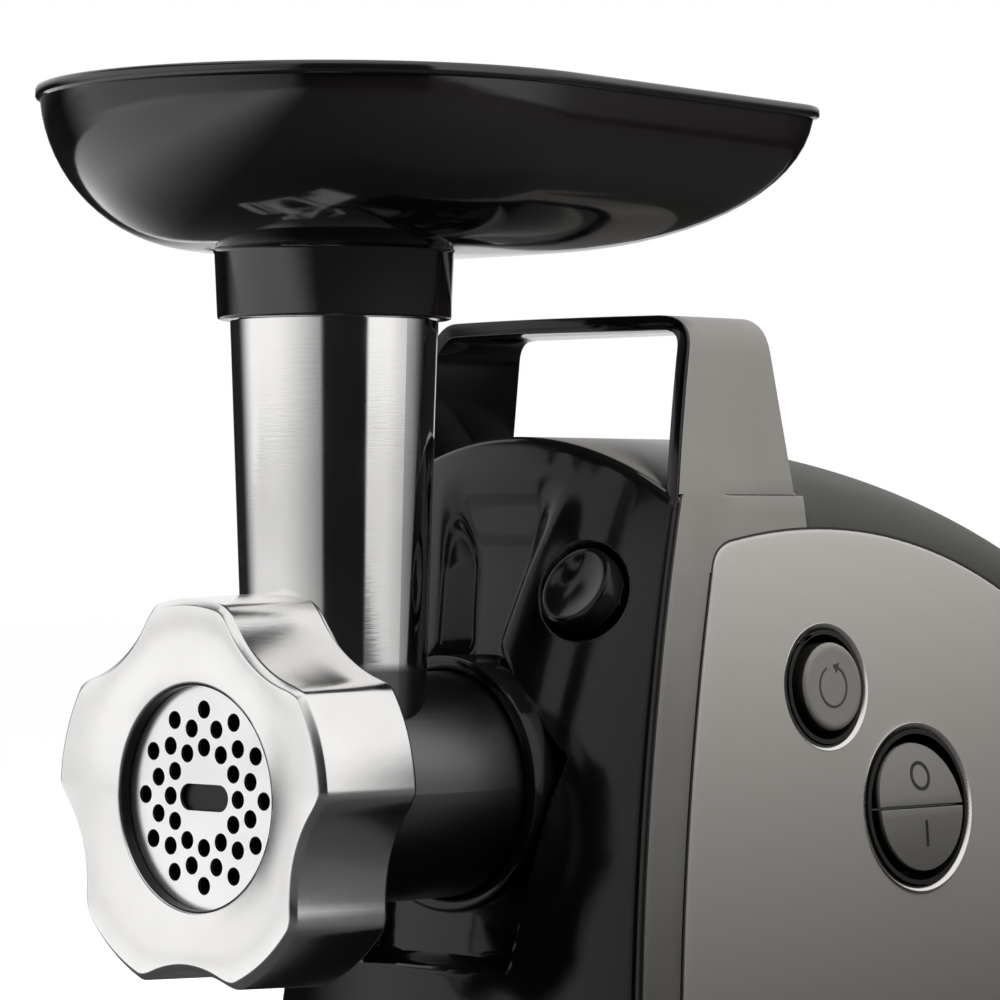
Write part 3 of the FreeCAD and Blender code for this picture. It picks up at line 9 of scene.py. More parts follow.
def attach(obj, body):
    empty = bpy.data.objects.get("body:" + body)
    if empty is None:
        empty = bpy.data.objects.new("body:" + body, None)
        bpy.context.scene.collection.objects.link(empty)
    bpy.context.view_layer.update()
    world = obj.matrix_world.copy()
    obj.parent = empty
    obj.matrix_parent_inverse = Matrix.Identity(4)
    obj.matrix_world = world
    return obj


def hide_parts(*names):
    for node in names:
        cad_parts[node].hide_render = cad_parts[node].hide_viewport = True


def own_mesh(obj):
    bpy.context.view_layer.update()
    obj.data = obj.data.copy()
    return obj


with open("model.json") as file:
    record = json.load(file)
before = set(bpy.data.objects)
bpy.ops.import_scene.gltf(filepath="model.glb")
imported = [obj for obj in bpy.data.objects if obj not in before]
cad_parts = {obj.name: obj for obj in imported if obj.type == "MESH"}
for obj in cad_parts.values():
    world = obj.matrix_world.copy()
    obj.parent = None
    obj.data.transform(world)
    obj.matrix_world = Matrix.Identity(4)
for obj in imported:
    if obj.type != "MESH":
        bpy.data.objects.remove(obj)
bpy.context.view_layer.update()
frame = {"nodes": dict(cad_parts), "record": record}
nodes = frame["nodes"]
scene = bpy.context.scene
print("frame loaded:", len(nodes), "nodes")


def lerp(a, b, share):
    return a + (b - a) * share


def spaced(a, b, count):
    return [lerp(a, b, k / count) for k in range(count)]      # even steps from a, with b left out


# camera, lamps, floor and the dark cards that metal and gloss mirror
stageSet = {
    "cameraPlace": (0.8343, -0.9115, 0.2030),
    "cameraTurn": 44.5,          # degrees round Z
    "cameraLift": 0.2513,        # degrees above level
    "lens": 164.16,
    "sensor": 36.0,
    "farthest": 50.0,
    "skyStrength": 0.09,         # what the sky gives matt surfaces
    "floorHalf": 6.0,
    "floorTone": 0.62,
    "floorRough": 0.7,
    "floorShine": 0.1,
    "floorGlow": 0.85,           # the paper's own white, to the camera
    "floorMirror": 0.60,         # and in mirrors
    "cardTone": 0.006,
    "cardRough": 0.9,
    "cardStep": 6.0,             # degrees between a bent card's folds
}

lamps = {
    "keyLamp": dict(place=(0.95, 0.02, 0.90), aim=(0.05, 0.02, 0.20), size=(0.6, 0.5), power=18.0),
    "leftLamp": dict(place=(-0.75, -1.25, 0.40), aim=(0, -0.10, 0.16), size=(0.9, 0.7), power=3.0),
    "backLamp": dict(place=(-0.95, 0.45, 0.45), aim=(-0.05, 0.05, 0.12), size=(0.8, 0.8), power=8.0),
    "topLamp": dict(place=(0.1, 0.2, 1.5), aim=(0, -0.02, 0.2), size=(0.9, 0.9), power=2.0),
}

# stops are (angle, dark) pairs; angles are from the line to the camera, positive to its right
cards = {
    "cameraCard": dict(reach=1.45, rows=((-0.05, 1.0), (0.7, 1.0), (1.6, 0.0)),
                       stops=((-70, 0.0), (-16, 0.6), (-11.5, 1.0), (32, 1.0), (36, 0.08), (55, 0.0))),
    "highLeftCard": dict(reach=1.20, stops=((-125, 0.0), (-105, 0.8), (-40, 0.8), (-20, 0.0)),
                         rows=((0.78, 0.0), (1.0, 1.0), (1.7, 1.0), (2.2, 0.0))),
    "rearCard": dict(reach=1.20, stops=((54, 0.0), (120, 1.0), (160, 1.0), (172, 0.0), (188, 0.0), (200, 1.0),
                                        (236, 1.0), (266, 0.0)),
                     rows=((0.0, 1.0), (0.30, 1.0), (0.65, 0.0))),
}
floorCard = dict(centre=(0.77, -0.02), size=(3.4, 2.2), turn=-45.0, z=0.0015,
                 along=((-0.5, 0.0), (-0.4, 0.85), (0.3, 0.85), (0.5, 0.0)),
                 aside=((-0.5, 0.0), (-0.35, 1.0), (0.35, 1.0), (0.5, 0.0)))
flag = dict(x=0.25, y=((-0.32, 0.0), (-0.14, 1.0), (0.22, 1.0), (0.42, 0.0)),
            z=((0.03, 0.0), (0.12, 1.0), (0.295, 1.0)))      # shades the key lamp low down


def setInputs(tree, node, values):
    # a value may be another node's output, which is then linked
    for key, value in values.items():
        if isinstance(value, bpy.types.NodeSocket):
            tree.links.new(value, node.inputs[key])
        else:
            node.inputs[key].default_value = value


def addNode(tree, kind, values=None, **settings):
    fresh = tree.nodes.new("ShaderNode" + kind)
    for key, value in settings.items():
        setattr(fresh, key, value)
    setInputs(tree, fresh, values or {})
    return fresh


def newMaterial(name):
    material = bpy.data.materials.new(name)
    material.use_nodes = True
    return material, material.node_tree, material.node_tree.nodes["Principled BSDF"]


def seenDirectly(tree):
    # 1 for the camera and in mirrors or glass, 0 for matt light
    path = addNode(tree, "LightPath").outputs
    either = addNode(tree, "Math", {0: path["Is Camera Ray"], 1: path["Is Glossy Ray"]}, operation="MAXIMUM")
    anyOf = addNode(tree, "Math", {0: either.outputs[0], 1: path["Is Transmission Ray"]}, operation="MAXIMUM")
    return anyOf.outputs[0]


def setCamera():
    lens = bpy.data.cameras.new("photoCamera")
    lens.sensor_width = stageSet["sensor"]
    lens.lens = stageSet["lens"]
    lens.clip_end = stageSet["farthest"]
    camera = bpy.data.objects.new("photoCamera", lens)
    camera.location = stageSet["cameraPlace"]
    lift, turn = math.radians(90 + stageSet["cameraLift"]), math.radians(stageSet["cameraTurn"])
    camera.rotation_euler = (lift, 0, turn)
    scene.collection.objects.link(camera)
    scene.camera = camera


def addLamp(name, place, aim, size, power):
    lamp = bpy.data.lights.new(name, "AREA")
    lamp.shape = "RECTANGLE"
    lamp.size, lamp.size_y = size
    lamp.energy = power
    holder = bpy.data.objects.new(name, lamp)
    holder.location = place
    holder.visible_glossy = False    # metal mirrors the white studio, not the lamps
    holder.rotation_euler = (Vector(aim) - Vector(place)).to_track_quat("-Z", "Y").to_euler()
    scene.collection.objects.link(holder)


def setSky():
    world = bpy.data.worlds.new("whiteStudio")
    scene.world = world
    world.use_nodes = True
    tree = world.node_tree
    tree.nodes.clear()
    strength = addNode(tree, "MapRange", {"Value": seenDirectly(tree), "To Min": stageSet["skyStrength"]})
    sky = addNode(tree, "Background", {"Color": (1, 1, 1, 1), "Strength": strength.outputs["Result"]})
    addNode(tree, "OutputWorld", {"Surface": sky.outputs[0]})


def addSheet(name, columns, rows, placeAt, material):
    # a flat or bent sheet; columns and rows are (place, dark) pairs, dark kept in the map's U
    bm = bmesh.new()
    bmesh.ops.create_grid(bm, x_segments=len(columns) - 1, y_segments=len(rows) - 1, size=1.0)
    dark = bm.loops.layers.uv.new("dark")
    for vert in bm.verts:
        column = columns[round((vert.co.x + 1) / 2 * (len(columns) - 1))]
        row = rows[round((vert.co.y + 1) / 2 * (len(rows) - 1))]
        vert.co = placeAt(column[0], row[0])
        for loop in vert.link_loops:
            loop[dark].uv = (column[1] * row[1], 0)
    mesh = bpy.data.meshes.new(name)
    bm.to_mesh(mesh)
    bm.free()
    mesh.materials.append(material)
    sheet = bpy.data.objects.new(name, mesh)
    scene.collection.objects.link(sheet)
    return sheet


def addFloor():
    paper, tree, shade = newMaterial("studioPaper")
    tone, path = stageSet["floorTone"], addNode(tree, "LightPath").outputs
    mirrored = addNode(tree, "Math", {0: path["Is Glossy Ray"], 1: stageSet["floorMirror"]},
                       operation="MULTIPLY")
    glow = addNode(tree, "Math", {0: path["Is Camera Ray"], 1: stageSet["floorGlow"], 2: mirrored.outputs[0]},
                   operation="MULTIPLY_ADD")
    setInputs(tree, shade, {
        "Base Color": (tone, tone, tone, 1), "Roughness": stageSet["floorRough"],
        "Specular IOR Level": stageSet["floorShine"], "Emission Color": (1, 1, 1, 1),
        "Emission Strength": glow.outputs[0]})
    ends = ((-stageSet["floorHalf"], 0.0), (stageSet["floorHalf"], 0.0))
    addSheet("studioFloor", ends, ends, lambda x, y: (x, y, 0), paper)


def makeFelt():
    # black where the map says dark, clear where it doesn't, so that edges fade
    felt, tree, shade = newMaterial("blackFelt")
    tone = stageSet["cardTone"]
    setInputs(tree, shade, {"Base Color": (tone, tone, tone, 1), "Roughness": stageSet["cardRough"]})
    layer = addNode(tree, "UVMap", uv_map="dark")
    split = addNode(tree, "SeparateXYZ", {0: layer.outputs[0]})
    soft = addNode(tree, "MapRange", {"Value": split.outputs["X"]}, interpolation_type="SMOOTHSTEP")
    clear = addNode(tree, "BsdfTransparent")
    mixed = addNode(tree, "MixShader", {
        "Fac": soft.outputs["Result"], 1: clear.outputs[0], 2: shade.outputs[0]})
    setInputs(tree, tree.nodes["Material Output"], {"Surface": mixed.outputs[0]})
    return felt


def finerStops(stops):
    finer = [stops[0]]
    for (a, darkA), (b, darkB) in zip(stops, stops[1:]):
        count = math.ceil((b - a) / stageSet["cardStep"])
        finer += [(lerp(a, b, k / count), lerp(darkA, darkB, k / count)) for k in range(1, count + 1)]
    return finer


def addCards():
    felt = makeFelt()
    sheets = []
    for name, card in cards.items():
        def bent(angle, z, reach=card["reach"]):
            turn = math.radians(stageSet["cameraTurn"] - 90 + angle)
            return (reach * math.cos(turn), reach * math.sin(turn), z)

        sheets.append(addSheet(name, finerStops(card["stops"]), card["rows"], bent, felt))
    turn = Matrix.Rotation(math.radians(floorCard["turn"]), 2)

    def lying(along, aside):
        spot = turn @ Vector((along * floorCard["size"][0], aside * floorCard["size"][1]))
        return (spot.x + floorCard["centre"][0], spot.y + floorCard["centre"][1], floorCard["z"])

    sheets.append(addSheet("floorCard", floorCard["along"], floorCard["aside"], lying, felt))
    for sheet in sheets:     # mirrors alone meet the cards, but the one on the floor also stops its bounce
        sheet.visible_diffuse = sheet.name == "floorCard"
        sheet.visible_shadow = False
    shade = addSheet("keyFlag", flag["y"], flag["z"], lambda y, z: (flag["x"], y, z), felt)
    shade.visible_diffuse = False
    shade.visible_glossy = False
    for sheet in sheets + [shade]:
        sheet.visible_camera = False
        sheet.visible_transmission = False


setCamera()
setSky()
addFloor()
addCards()
for name, lamp in lamps.items():
    addLamp(name, **lamp)
scene.view_settings.view_transform = "Standard"
print("stage set")

# finishes, one for each kind of stuff; lengths in metres
finishes = {
    "black_gloss": dict(color=(0.006, 0.0055, 0.0055), rough=0.10, vary=0.03, spec=0.34, grain=900,
                        bump=0.010, wear=0.02),
    "tray_gloss": dict(color=(0.0075, 0.0062, 0.0058), rough=0.09, vary=0.03, spec=0.85, grain=900,
                       bump=0.010, wear=0.02),
    "frame_grey": dict(color=(0.185, 0.176, 0.163), rough=0.36, vary=0.05, spec=0.40, grain=2600, bump=0.05,
                       wear=0.10),
    "cover_grey": dict(color=(0.040, 0.041, 0.036), rough=0.50, vary=0.05, spec=0.14, grain=2600, bump=0.06,
                       wear=0.08),
    "panel_silver": dict(color=(0.43, 0.405, 0.38), rough=0.42, vary=0.04, metal=0.25, spec=0.4, grain=5200,
                         bump=0.03, fleck=0.10, wear=0.25),
    "button_grey": dict(color=(0.21, 0.20, 0.185), rough=0.42, vary=0.05, spec=0.40, grain=2600, bump=0.05,
                        wear=0.10),
    "edge_silver": dict(color=(0.78, 0.76, 0.73), rough=0.26, vary=0.05, metal=1.0, grain=2600, bump=0.02,
                        wear=0.1),
    "mark_grey": dict(color=(0.045, 0.043, 0.040), rough=0.45, vary=0.05, spec=0.35, grain=2400, bump=0.05,
                      wear=0.03),
    "recess_black": dict(color=(0.010, 0.0095, 0.009), rough=0.38, vary=0.06, spec=0.35, grain=2400,
                         bump=0.05, wear=0.03),
    "cast_aluminium": dict(color=(0.87, 0.86, 0.85), rough=0.08, vary=0.03, metal=1.0, grain=240,
                           stretch=(1, 1, 6), bump=0.012, wear=0.1,
                           # painted shade: below this height the barrel behind the ring is darker and rougher
                           shadeZone=dict(axis=2, at=0.168, over=-0.003, color=(0.16, 0.16, 0.165), rough=0.30)),
    "ring_aluminium": dict(color=(0.86, 0.85, 0.84), rough=0.20, vary=0.05, metal=1.0, grain=260,
                           stretch=(12, 1, 1), bump=0.03, wear=0.12),
    "steel": dict(color=(0.88, 0.875, 0.87), rough=0.24, vary=0.06, metal=1.0, grain=2600, turned=True,
                  bump=0.03, wear=0.15),
    "screen_steel": dict(color=(0.93, 0.925, 0.92), rough=0.22, vary=0.05, metal=1.0, grain=2600,
                         turned=True, bump=0.03, wear=0.15,
                         # painted shade: deeper than the plate's face, the hole walls are dark
                         shadeZone=dict(axis=1, at=-0.1655, over=0.0006, color=(0.02, 0.02, 0.02), rough=0.5)),
    "gear_steel": dict(color=(0.42, 0.42, 0.43), rough=0.34, vary=0.08, metal=1.0, grain=900, bump=0.03,
                       wear=0.15),
    "lamination": dict(color=(0.12, 0.12, 0.125), rough=0.48, vary=0.08, metal=0.8, grain=1600,
                       stretch=(1, 12, 1), bump=0.10, wear=0.1),
    "copper": dict(color=(0.55, 0.24, 0.10), rough=0.34, vary=0.08, metal=0.9, grain=1400,
                   stretch=(1, 10, 1), bump=0.12, wear=0.08),
    "bronze": dict(color=(0.50, 0.33, 0.15), rough=0.36, vary=0.08, metal=1.0, grain=1500, bump=0.05,
                   wear=0.1),
    "rubber": dict(color=(0.025, 0.025, 0.025), rough=0.75, vary=0.08, spec=0.3, grain=1800, bump=0.12,
                   wear=0.05),
    "base_plastic": dict(color=(0.035, 0.035, 0.034), rough=0.55, vary=0.06, spec=0.35, grain=1500,
                         bump=0.15, wear=0.06),
    "case_plastic": dict(color=(0.52, 0.51, 0.47), rough=0.5, vary=0.06, spec=0.4, grain=1200, bump=0.08,
                         wear=0.05),
    "carbon": dict(color=(0.03, 0.03, 0.03), rough=0.6, vary=0.08, spec=0.4, grain=3000, bump=0.1,
                   wear=0.05),
    "board": dict(color=(0.03, 0.11, 0.05), rough=0.4, vary=0.08, spec=0.45, grain=1500, stretch=(1, 4, 1),
                  bump=0.06, wear=0.05),
}
surface = {
    "cloudScale": 38.0, "cloudDetail": 4.0,        # slow change over some 25 mm
    "grainDetail": 3.0, "grainShare": 0.4, "turnAxis": (0, 0, 0.135),
    "roughSpan": (0.3, 0.7), "toneSpan": (0.25, 0.75), "drift": 0.07, "bumpDepth": 0.0004,
    "wornColor": (0.75, 0.74, 0.72, 1), "wornReach": 0.0007, "wornStart": 0.02, "wornFull": 0.20,
}


def makeFinish(slot, look):
    material, tree, shade = newMaterial(slot)
    place = addNode(tree, "TexCoord").outputs["Object"]
    cloud = addNode(tree, "TexNoise", {
        "Vector": place, "Scale": surface["cloudScale"], "Detail": surface["cloudDetail"]}).outputs["Fac"]
    fine = {"Scale": look["grain"], "Detail": surface["grainDetail"]}
    if look.get("turned"):
        # marks run round the worm's axis
        apart = addNode(tree, "VectorMath", {0: place, 1: surface["turnAxis"]}, operation="SUBTRACT")
        flat = addNode(tree, "VectorMath", {0: apart.outputs[0], 1: (1, 0, 1)}, operation="MULTIPLY")
        radius = addNode(tree, "VectorMath", {0: flat.outputs[0]}, operation="LENGTH")
        speckle = addNode(tree, "TexNoise", {**fine, "W": radius.outputs["Value"]}, noise_dimensions="1D")
    else:
        shape = addNode(tree, "Mapping", {"Vector": place, "Scale": look.get("stretch", (1, 1, 1))})
        speckle = addNode(tree, "TexNoise", {**fine, "Vector": shape.outputs[0]})
    grain = speckle.outputs["Fac"]
    both = addNode(tree, "Mix", {"Factor": surface["grainShare"], "A": cloud, "B": grain}, data_type="FLOAT")
    low, high = surface["roughSpan"]
    rough = addNode(tree, "MapRange", {
        "Value": both.outputs["Result"], "From Min": low, "From Max": high,
        "To Min": look["rough"] - look["vary"], "To Max": look["rough"] + look["vary"]})
    bump = addNode(tree, "Bump", {
        "Height": grain, "Strength": look["bump"], "Distance": surface["bumpDepth"]})
    # tone drifts a little, and edges are rubbed paler
    drift = look.get("fleck", surface["drift"])
    low, high = surface["toneSpan"]
    tone = addNode(tree, "MapRange", {
        "Value": grain if "fleck" in look else cloud, "From Min": low, "From Max": high,
        "To Min": 1 - drift, "To Max": 1 + drift})
    tinted = addNode(tree, "VectorMath", {0: look["color"], "Scale": tone.outputs["Result"]},
                     operation="SCALE")
    soft = addNode(tree, "Bevel", {"Radius": surface["wornReach"]}, samples=4)
    true = addNode(tree, "NewGeometry")
    match = addNode(tree, "VectorMath", {0: soft.outputs["Normal"], 1: true.outputs["Normal"]},
                    operation="DOT_PRODUCT")
    rubbed = addNode(tree, "MapRange", {
        "Value": match.outputs["Value"], "From Min": 1 - surface["wornStart"],
        "From Max": 1 - surface["wornFull"], "To Max": look["wear"]})
    pale = addNode(tree, "Mix", {
        "Factor": rubbed.outputs["Result"], 6: tinted.outputs[0], 7: surface["wornColor"]}, data_type="RGBA")
    roughness, color, shadeZone = rough.outputs["Result"], pale.outputs[2], look.get("shadeZone")
    if shadeZone:
        # past a level along one axis the piece is left rougher and darker, as painted shade
        along = addNode(tree, "SeparateXYZ", {0: place})
        beyond = addNode(tree, "MapRange", {
            "Value": along.outputs[shadeZone["axis"]],
            "From Min": shadeZone["at"], "From Max": shadeZone["at"] + shadeZone["over"]},
            interpolation_type="SMOOTHSTEP").outputs["Result"]
        blend = addNode(tree, "Mix", {"Factor": beyond, "A": roughness, "B": shadeZone["rough"]},
                        data_type="FLOAT")
        paintedShade = addNode(tree, "Mix", {"Factor": beyond, 6: color, 7: (*shadeZone["color"], 1)}, data_type="RGBA")
        roughness, color = blend.outputs["Result"], paintedShade.outputs[2]
    setInputs(tree, shade, {
        "Base Color": color, "Roughness": roughness, "Normal": bump.outputs["Normal"],
        "Metallic": look.get("metal", 0.0), "Specular IOR Level": look.get("spec", 0.5)})
    return material


# the screen plate has its own finish, with painted shade in its holes
ownFinish = {"screen_plate": "screen_steel"}
made = {slot: makeFinish(slot, look) for slot, look in finishes.items()}
for entry in frame["record"]["subparts"]:
    piece = nodes[entry["node"]]
    piece.data.materials.clear()
    piece.data.materials.append(made[ownFinish.get(entry["node"], entry["material_slot"])])
print("finishes laid on")

# mesh helpers; shapes are drawn in millimetres and scaled once at the end
def bendPlaces(a, b, c, count):
    # points on a curve from a towards b and on to c, which is left out
    a, b, c = Vector(a), Vector(b), Vector(c)
    return [tuple(a.lerp(b, t).lerp(b.lerp(c, t), t)) for t in (k / count for k in range(count))]


def ringOf(bm, places):
    ring = list(bmesh.ops.create_circle(bm, cap_ends=False, segments=len(places), radius=1.0)["verts"])
    for vert, place in zip(ring, places):
        vert.co = place
    return ring


def growRing(bm, ring, places):
    edges = [bm.edges.get(pair) for pair in zip(ring, ring[1:] + ring[:1])]
    grown = bmesh.ops.extrude_edge_only(bm, edges=edges)["geom"]
    fresh = {item for item in grown if isinstance(item, bmesh.types.BMVert)}
    outer = [next(edge.other_vert(vert) for edge in vert.link_edges if edge.other_vert(vert) in fresh)
             for vert in ring]
    for vert, place in zip(outer, places):
        vert.co = place
    return outer


def skinRings(bm, rings, ends="open"):
    first = last = ringOf(bm, rings[0])
    for places in rings[1:]:
        last = growRing(bm, last, places)
    loops = [[bm.edges.get(pair) for pair in zip(ring, ring[1:] + ring[:1])] for ring in (first, last)]
    if ends == "join":
        bmesh.ops.bridge_loops(bm, edges=loops[0] + loops[1])
    if ends in ("cap", "capLast"):
        for loop in (loops if ends == "cap" else loops[1:]):
            bmesh.ops.contextual_create(bm, geom=loop)


def lathe(bm, profile, steps=96):
    # profile of (radius, height) pairs turned about Z
    chain = [bm.verts.new((radius, 0, height)) for radius, height in profile]
    edges = [bm.edges.new(pair) for pair in zip(chain, chain[1:])]
    bmesh.ops.spin(bm, geom=chain + edges, cent=(0, 0, 0), axis=(0, 0, 1), angle=math.tau, steps=steps,
                   use_merge=True, use_normal_flip=False)
    bmesh.ops.remove_doubles(bm, verts=bm.verts, dist=0.0005)


def softCorner(before, corner, after, reach, steps):
    # a rounded turn at corner, as points on a short curve
    before, corner, after = Vector(before), Vector(corner), Vector(after)
    start = corner + (before - corner).normalized() * min(reach, (before - corner).length * 0.49)
    end = corner + (after - corner).normalized() * min(reach, (after - corner).length * 0.49)
    return bendPlaces(start, corner, end, steps) + [tuple(end)]


def softLoop(corners, reach, steps=2):
    count = len(corners)
    loop = []
    for index, corner in enumerate(corners):
        loop += softCorner(corners[index - 1], corner, corners[(index + 1) % count], reach, steps)
    return loop


def finishPiece(bm, name, finish, body, replaced=(), smooth=40, thick=0.0, matrix=None, slot=None):
    if matrix is not None:
        bmesh.ops.transform(bm, matrix=matrix, verts=bm.verts)
    bmesh.ops.scale(bm, vec=(0.001, 0.001, 0.001), verts=bm.verts)
    bmesh.ops.recalc_face_normals(bm, faces=bm.faces)
    mesh = bpy.data.meshes.new(name)
    bm.to_mesh(mesh)
    bm.free()
    mesh.shade_smooth()
    mesh.set_sharp_from_angle(angle=math.radians(smooth))
    piece = bpy.data.objects.new(name, mesh)
    scene.collection.objects.link(piece)
    mesh.materials.append(made[finish])
    if thick:
        wall = piece.modifiers.new("wall", "SOLIDIFY")
        wall.thickness = thick * 0.001
        wall.offset = -1.0
    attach(piece, body)
    if replaced:
        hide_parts(*replaced)
    print("made", name, len(mesh.polygons), "faces")
    return piece


def skinPiece(rings, ends, *words, **more):
    bm = bmesh.new()
    skinRings(bm, rings, ends)
    return finishPiece(bm, *words, **more)


def turnPiece(profile, *words, **more):
    bm = bmesh.new()
    lathe(bm, profile)
    finishPiece(bm, *words, **more)


def cutRound(bm, centre, axis, radius, reach, cuts):
    # a clean round hole through a meshed skin; returns the ring of its edge
    centre, axis = Vector(centre), Vector(axis).normalized()

    def off(place):
        apart = place - centre
        along = apart.dot(axis)
        return (apart - axis * along).length if abs(along) < reach else math.inf

    near = [edge for edge in bm.edges if min(off(vert.co) for vert in edge.verts) < radius * 1.35]
    bmesh.ops.subdivide_edges(bm, edges=near, cuts=cuts, use_grid_fill=True)
    gone = [face for face in bm.faces if off(face.calc_center_median()) < radius]
    bmesh.ops.delete(bm, geom=gone, context="FACES")
    rim = [edge for edge in bm.edges
           if edge.is_boundary and max(off(vert.co) for vert in edge.verts) < radius * 1.3]
    for vert in {vert for edge in rim for vert in edge.verts}:
        apart = vert.co - centre
        along = axis * apart.dot(axis)
        vert.co = centre + along + (apart - along).normalized() * radius
    return rim


def sinkRim(bm, rim, centre, axis, radius, depth):
    # draws a hole's edge inwards as a wall or chamfer
    centre, axis = Vector(centre), Vector(axis).normalized()
    grown = bmesh.ops.extrude_edge_only(bm, edges=rim)["geom"]
    for vert in (item for item in grown if isinstance(item, bmesh.types.BMVert)):
        apart = vert.co - centre
        along = axis * apart.dot(axis)
        vert.co = centre + along + (apart - along).normalized() * radius - axis * depth
    return [item for item in grown if isinstance(item, bmesh.types.BMEdge)]


# the casing's form, in millimetres
casing = {
    "axisZ": 135.0, "baseZ": 12.3, "halfWidth": 60.0, "sideLean": 0.08,
    "crestZ": 224.8, "shoulderZ": 208.0, "rearStart": -20.0, "rearEnd": 194.5,
    "roundness": 2.0, "crestDrop": 122.0, "shoulderDrop": 130.0, "narrowing": 27.0,
    "frontR": 763.4, "frontY": 674.0, "frontZ": -29.0, "crown": 11.6, "crownR": 160.97,
}


def halfAt(z):
    return casing["halfWidth"] + casing["sideLean"] * (casing["axisZ"] - z)


def fallAt(y):
    share = (y - casing["rearStart"]) / (casing["rearEnd"] - casing["rearStart"])
    share = min(1.0, max(0.0, share))
    return 1 - (1 - share ** casing["roundness"]) ** (1 / casing["roundness"])


def frontAt(x, z, inset=0.0):
    bulge = math.sqrt(casing["crownR"] ** 2 - x * x) - casing["crownR"] + casing["crown"]
    reach = casing["frontR"] + bulge - inset
    return casing["frontY"] - math.sqrt(reach * reach - (z - casing["frontZ"]) ** 2)


def sectionAt(y, soft):
    # right base, up the side, over the crown, down to the left base
    fallen = fallAt(y)
    shoulder = casing["shoulderZ"] - casing["shoulderDrop"] * fallen
    crest = casing["crestZ"] - casing["crestDrop"] * fallen
    narrow = casing["narrowing"] * fallen
    half = halfAt(shoulder) - narrow
    rise = crest - shoulder
    arc = (half * half + rise * rise) / (2 * rise)
    centre = crest - arc
    sideTop = shoulder - soft
    turn = math.asin(half / arc) - soft / arc
    side = [(halfAt(z) - narrow, z) for z in spaced(casing["baseZ"], sideTop, 40)]
    crown = [(arc * math.sin(a), centre + arc * math.cos(a)) for a in spaced(turn, 0, 16)]
    start, end = (halfAt(sideTop) - narrow, sideTop), crown[0]
    right = side + bendPlaces(start, (half, shoulder), end, 9) + crown
    return right + [(0.0, crest)] + [(-x, z) for x, z in reversed(right)]


# hopper tray: one skin from the collar up over the rim and down the throat
tray = {
    "tubeY": -122.0, "seatZ": 253.3, "floorZ": 271.0, "rimZ": 311.5, "bowlTop": 307.9, "wall": 2.4,
    "frontR": 74.0, "rearHalf": 58.0, "rearY": 7.0, "corner": 18.0, "steps": 18,
    "rearSlope": 2.1, "sideSlope": 0.75, "cornerSlope": 3.0,           # how the rear draws in downwards
    "collarLowR": 29.5, "collarTopR": 30.2, "throatR": 19.8,
    "socketR": 24.3, "socketZ": 267.3, "socketEdge": 0.6,
    "collarFoot": ((-0.7, 0.0), (-0.2, 0.2), (0.0, 0.7)),              # out and up from the foot
    "collarNeck": ((0.0, -1.2), (0.5, -0.4)),                          # and from the bowl's floor
    "lip": ((0.15, 308.2), (-0.7, 308.5), (-1.0, 308.9), (-1.0, 310.6),
            (-0.7, 311.25), (-0.1, 311.5), (1.5, 311.5), (2.15, 311.2)),     # inset and height
    "throatEdge": ((1.5, 0.0), (0.4, -0.4), (0.0, -1.5)),
}


def trayPlan(frontR, rearHalf, rearY, corner):
    centre = Vector((0, tray["tubeY"]))
    rear = Vector((rearHalf - corner, rearY - corner))
    apart = rear - centre
    turn = math.atan2(apart.y, apart.x) - math.acos((frontR - corner) / apart.length)
    front = [centre + Vector((math.cos(a), math.sin(a))) * frontR
             for a in spaced(-math.pi / 2, turn, 32) + [turn]]
    bend = [rear + Vector((math.cos(a), math.sin(a))) * corner
            for a in spaced(turn, math.pi / 2, 10) + [math.pi / 2]]
    side = [front[-1].lerp(bend[0], k / 12) for k in range(1, 12)]
    back = [bend[-1].lerp(Vector((0, rearY)), k / 9) for k in range(1, 10)]
    right = front + side + bend + back
    return right + [Vector((-place.x, place.y)) for place in reversed(right[1:-1])]


def makeTray():
    guide = trayPlan(tray["frontR"], tray["rearHalf"], tray["rearY"], tray["corner"])
    angles = [math.atan2(place.y - tray["tubeY"], place.x) for place in guide]

    def circle(radius, z):
        return [(radius * math.cos(a), tray["tubeY"] + radius * math.sin(a), z) for a in angles]

    def bowl(inset, angle, floor):
        full = tray["rimZ"] - floor
        inward = full * (1 - math.sin(angle))
        plan = trayPlan(tray["frontR"] - inset - inward,
                        tray["rearHalf"] - inset - inward * tray["sideSlope"],
                        tray["rearY"] - inset - inward * tray["rearSlope"],
                        tray["corner"] - inset - tray["cornerSlope"] * inward / full)
        return [(p.x, p.y, floor + full * (1 - math.cos(angle))) for p in plan]

    def level(inset, z):
        sizes = [tray[key] - inset for key in ("frontR", "rearHalf", "rearY")]
        return [(p.x, p.y, z) for p in trayPlan(*sizes, tray["corner"])]

    low, base, floor = tray["seatZ"], tray["floorZ"], tray["floorZ"] + tray["wall"]
    angleSteps = spaced(0, math.pi / 2, tray["steps"])
    outside = [bowl(0, angle, base) for angle in angleSteps]
    rings = [circle(tray["collarLowR"] + out, low + up) for out, up in tray["collarFoot"]]
    rings += [circle(tray["collarTopR"] + out, base + up) for out, up in tray["collarNeck"]]
    rings += [ring for ring in outside if ring[0][2] < tray["bowlTop"]]
    rings += [level(inset, z) for inset, z in tray["lip"]]
    rings += [bowl(tray["wall"], angle, floor) for angle in reversed(angleSteps)]
    rings += [circle(tray["throatR"] + out, floor + up) for out, up in tray["throatEdge"]]
    socket, edge = tray["socketR"], tray["socketEdge"]
    rings += [circle(tray["throatR"], tray["socketZ"]), circle(socket, tray["socketZ"]),
              circle(socket, low + edge), circle(socket + edge, low)]
    skinPiece(rings, "join", "hopperTray", "tray_gloss", "tray", ["hopper_tray"], 50, slot="black_gloss")


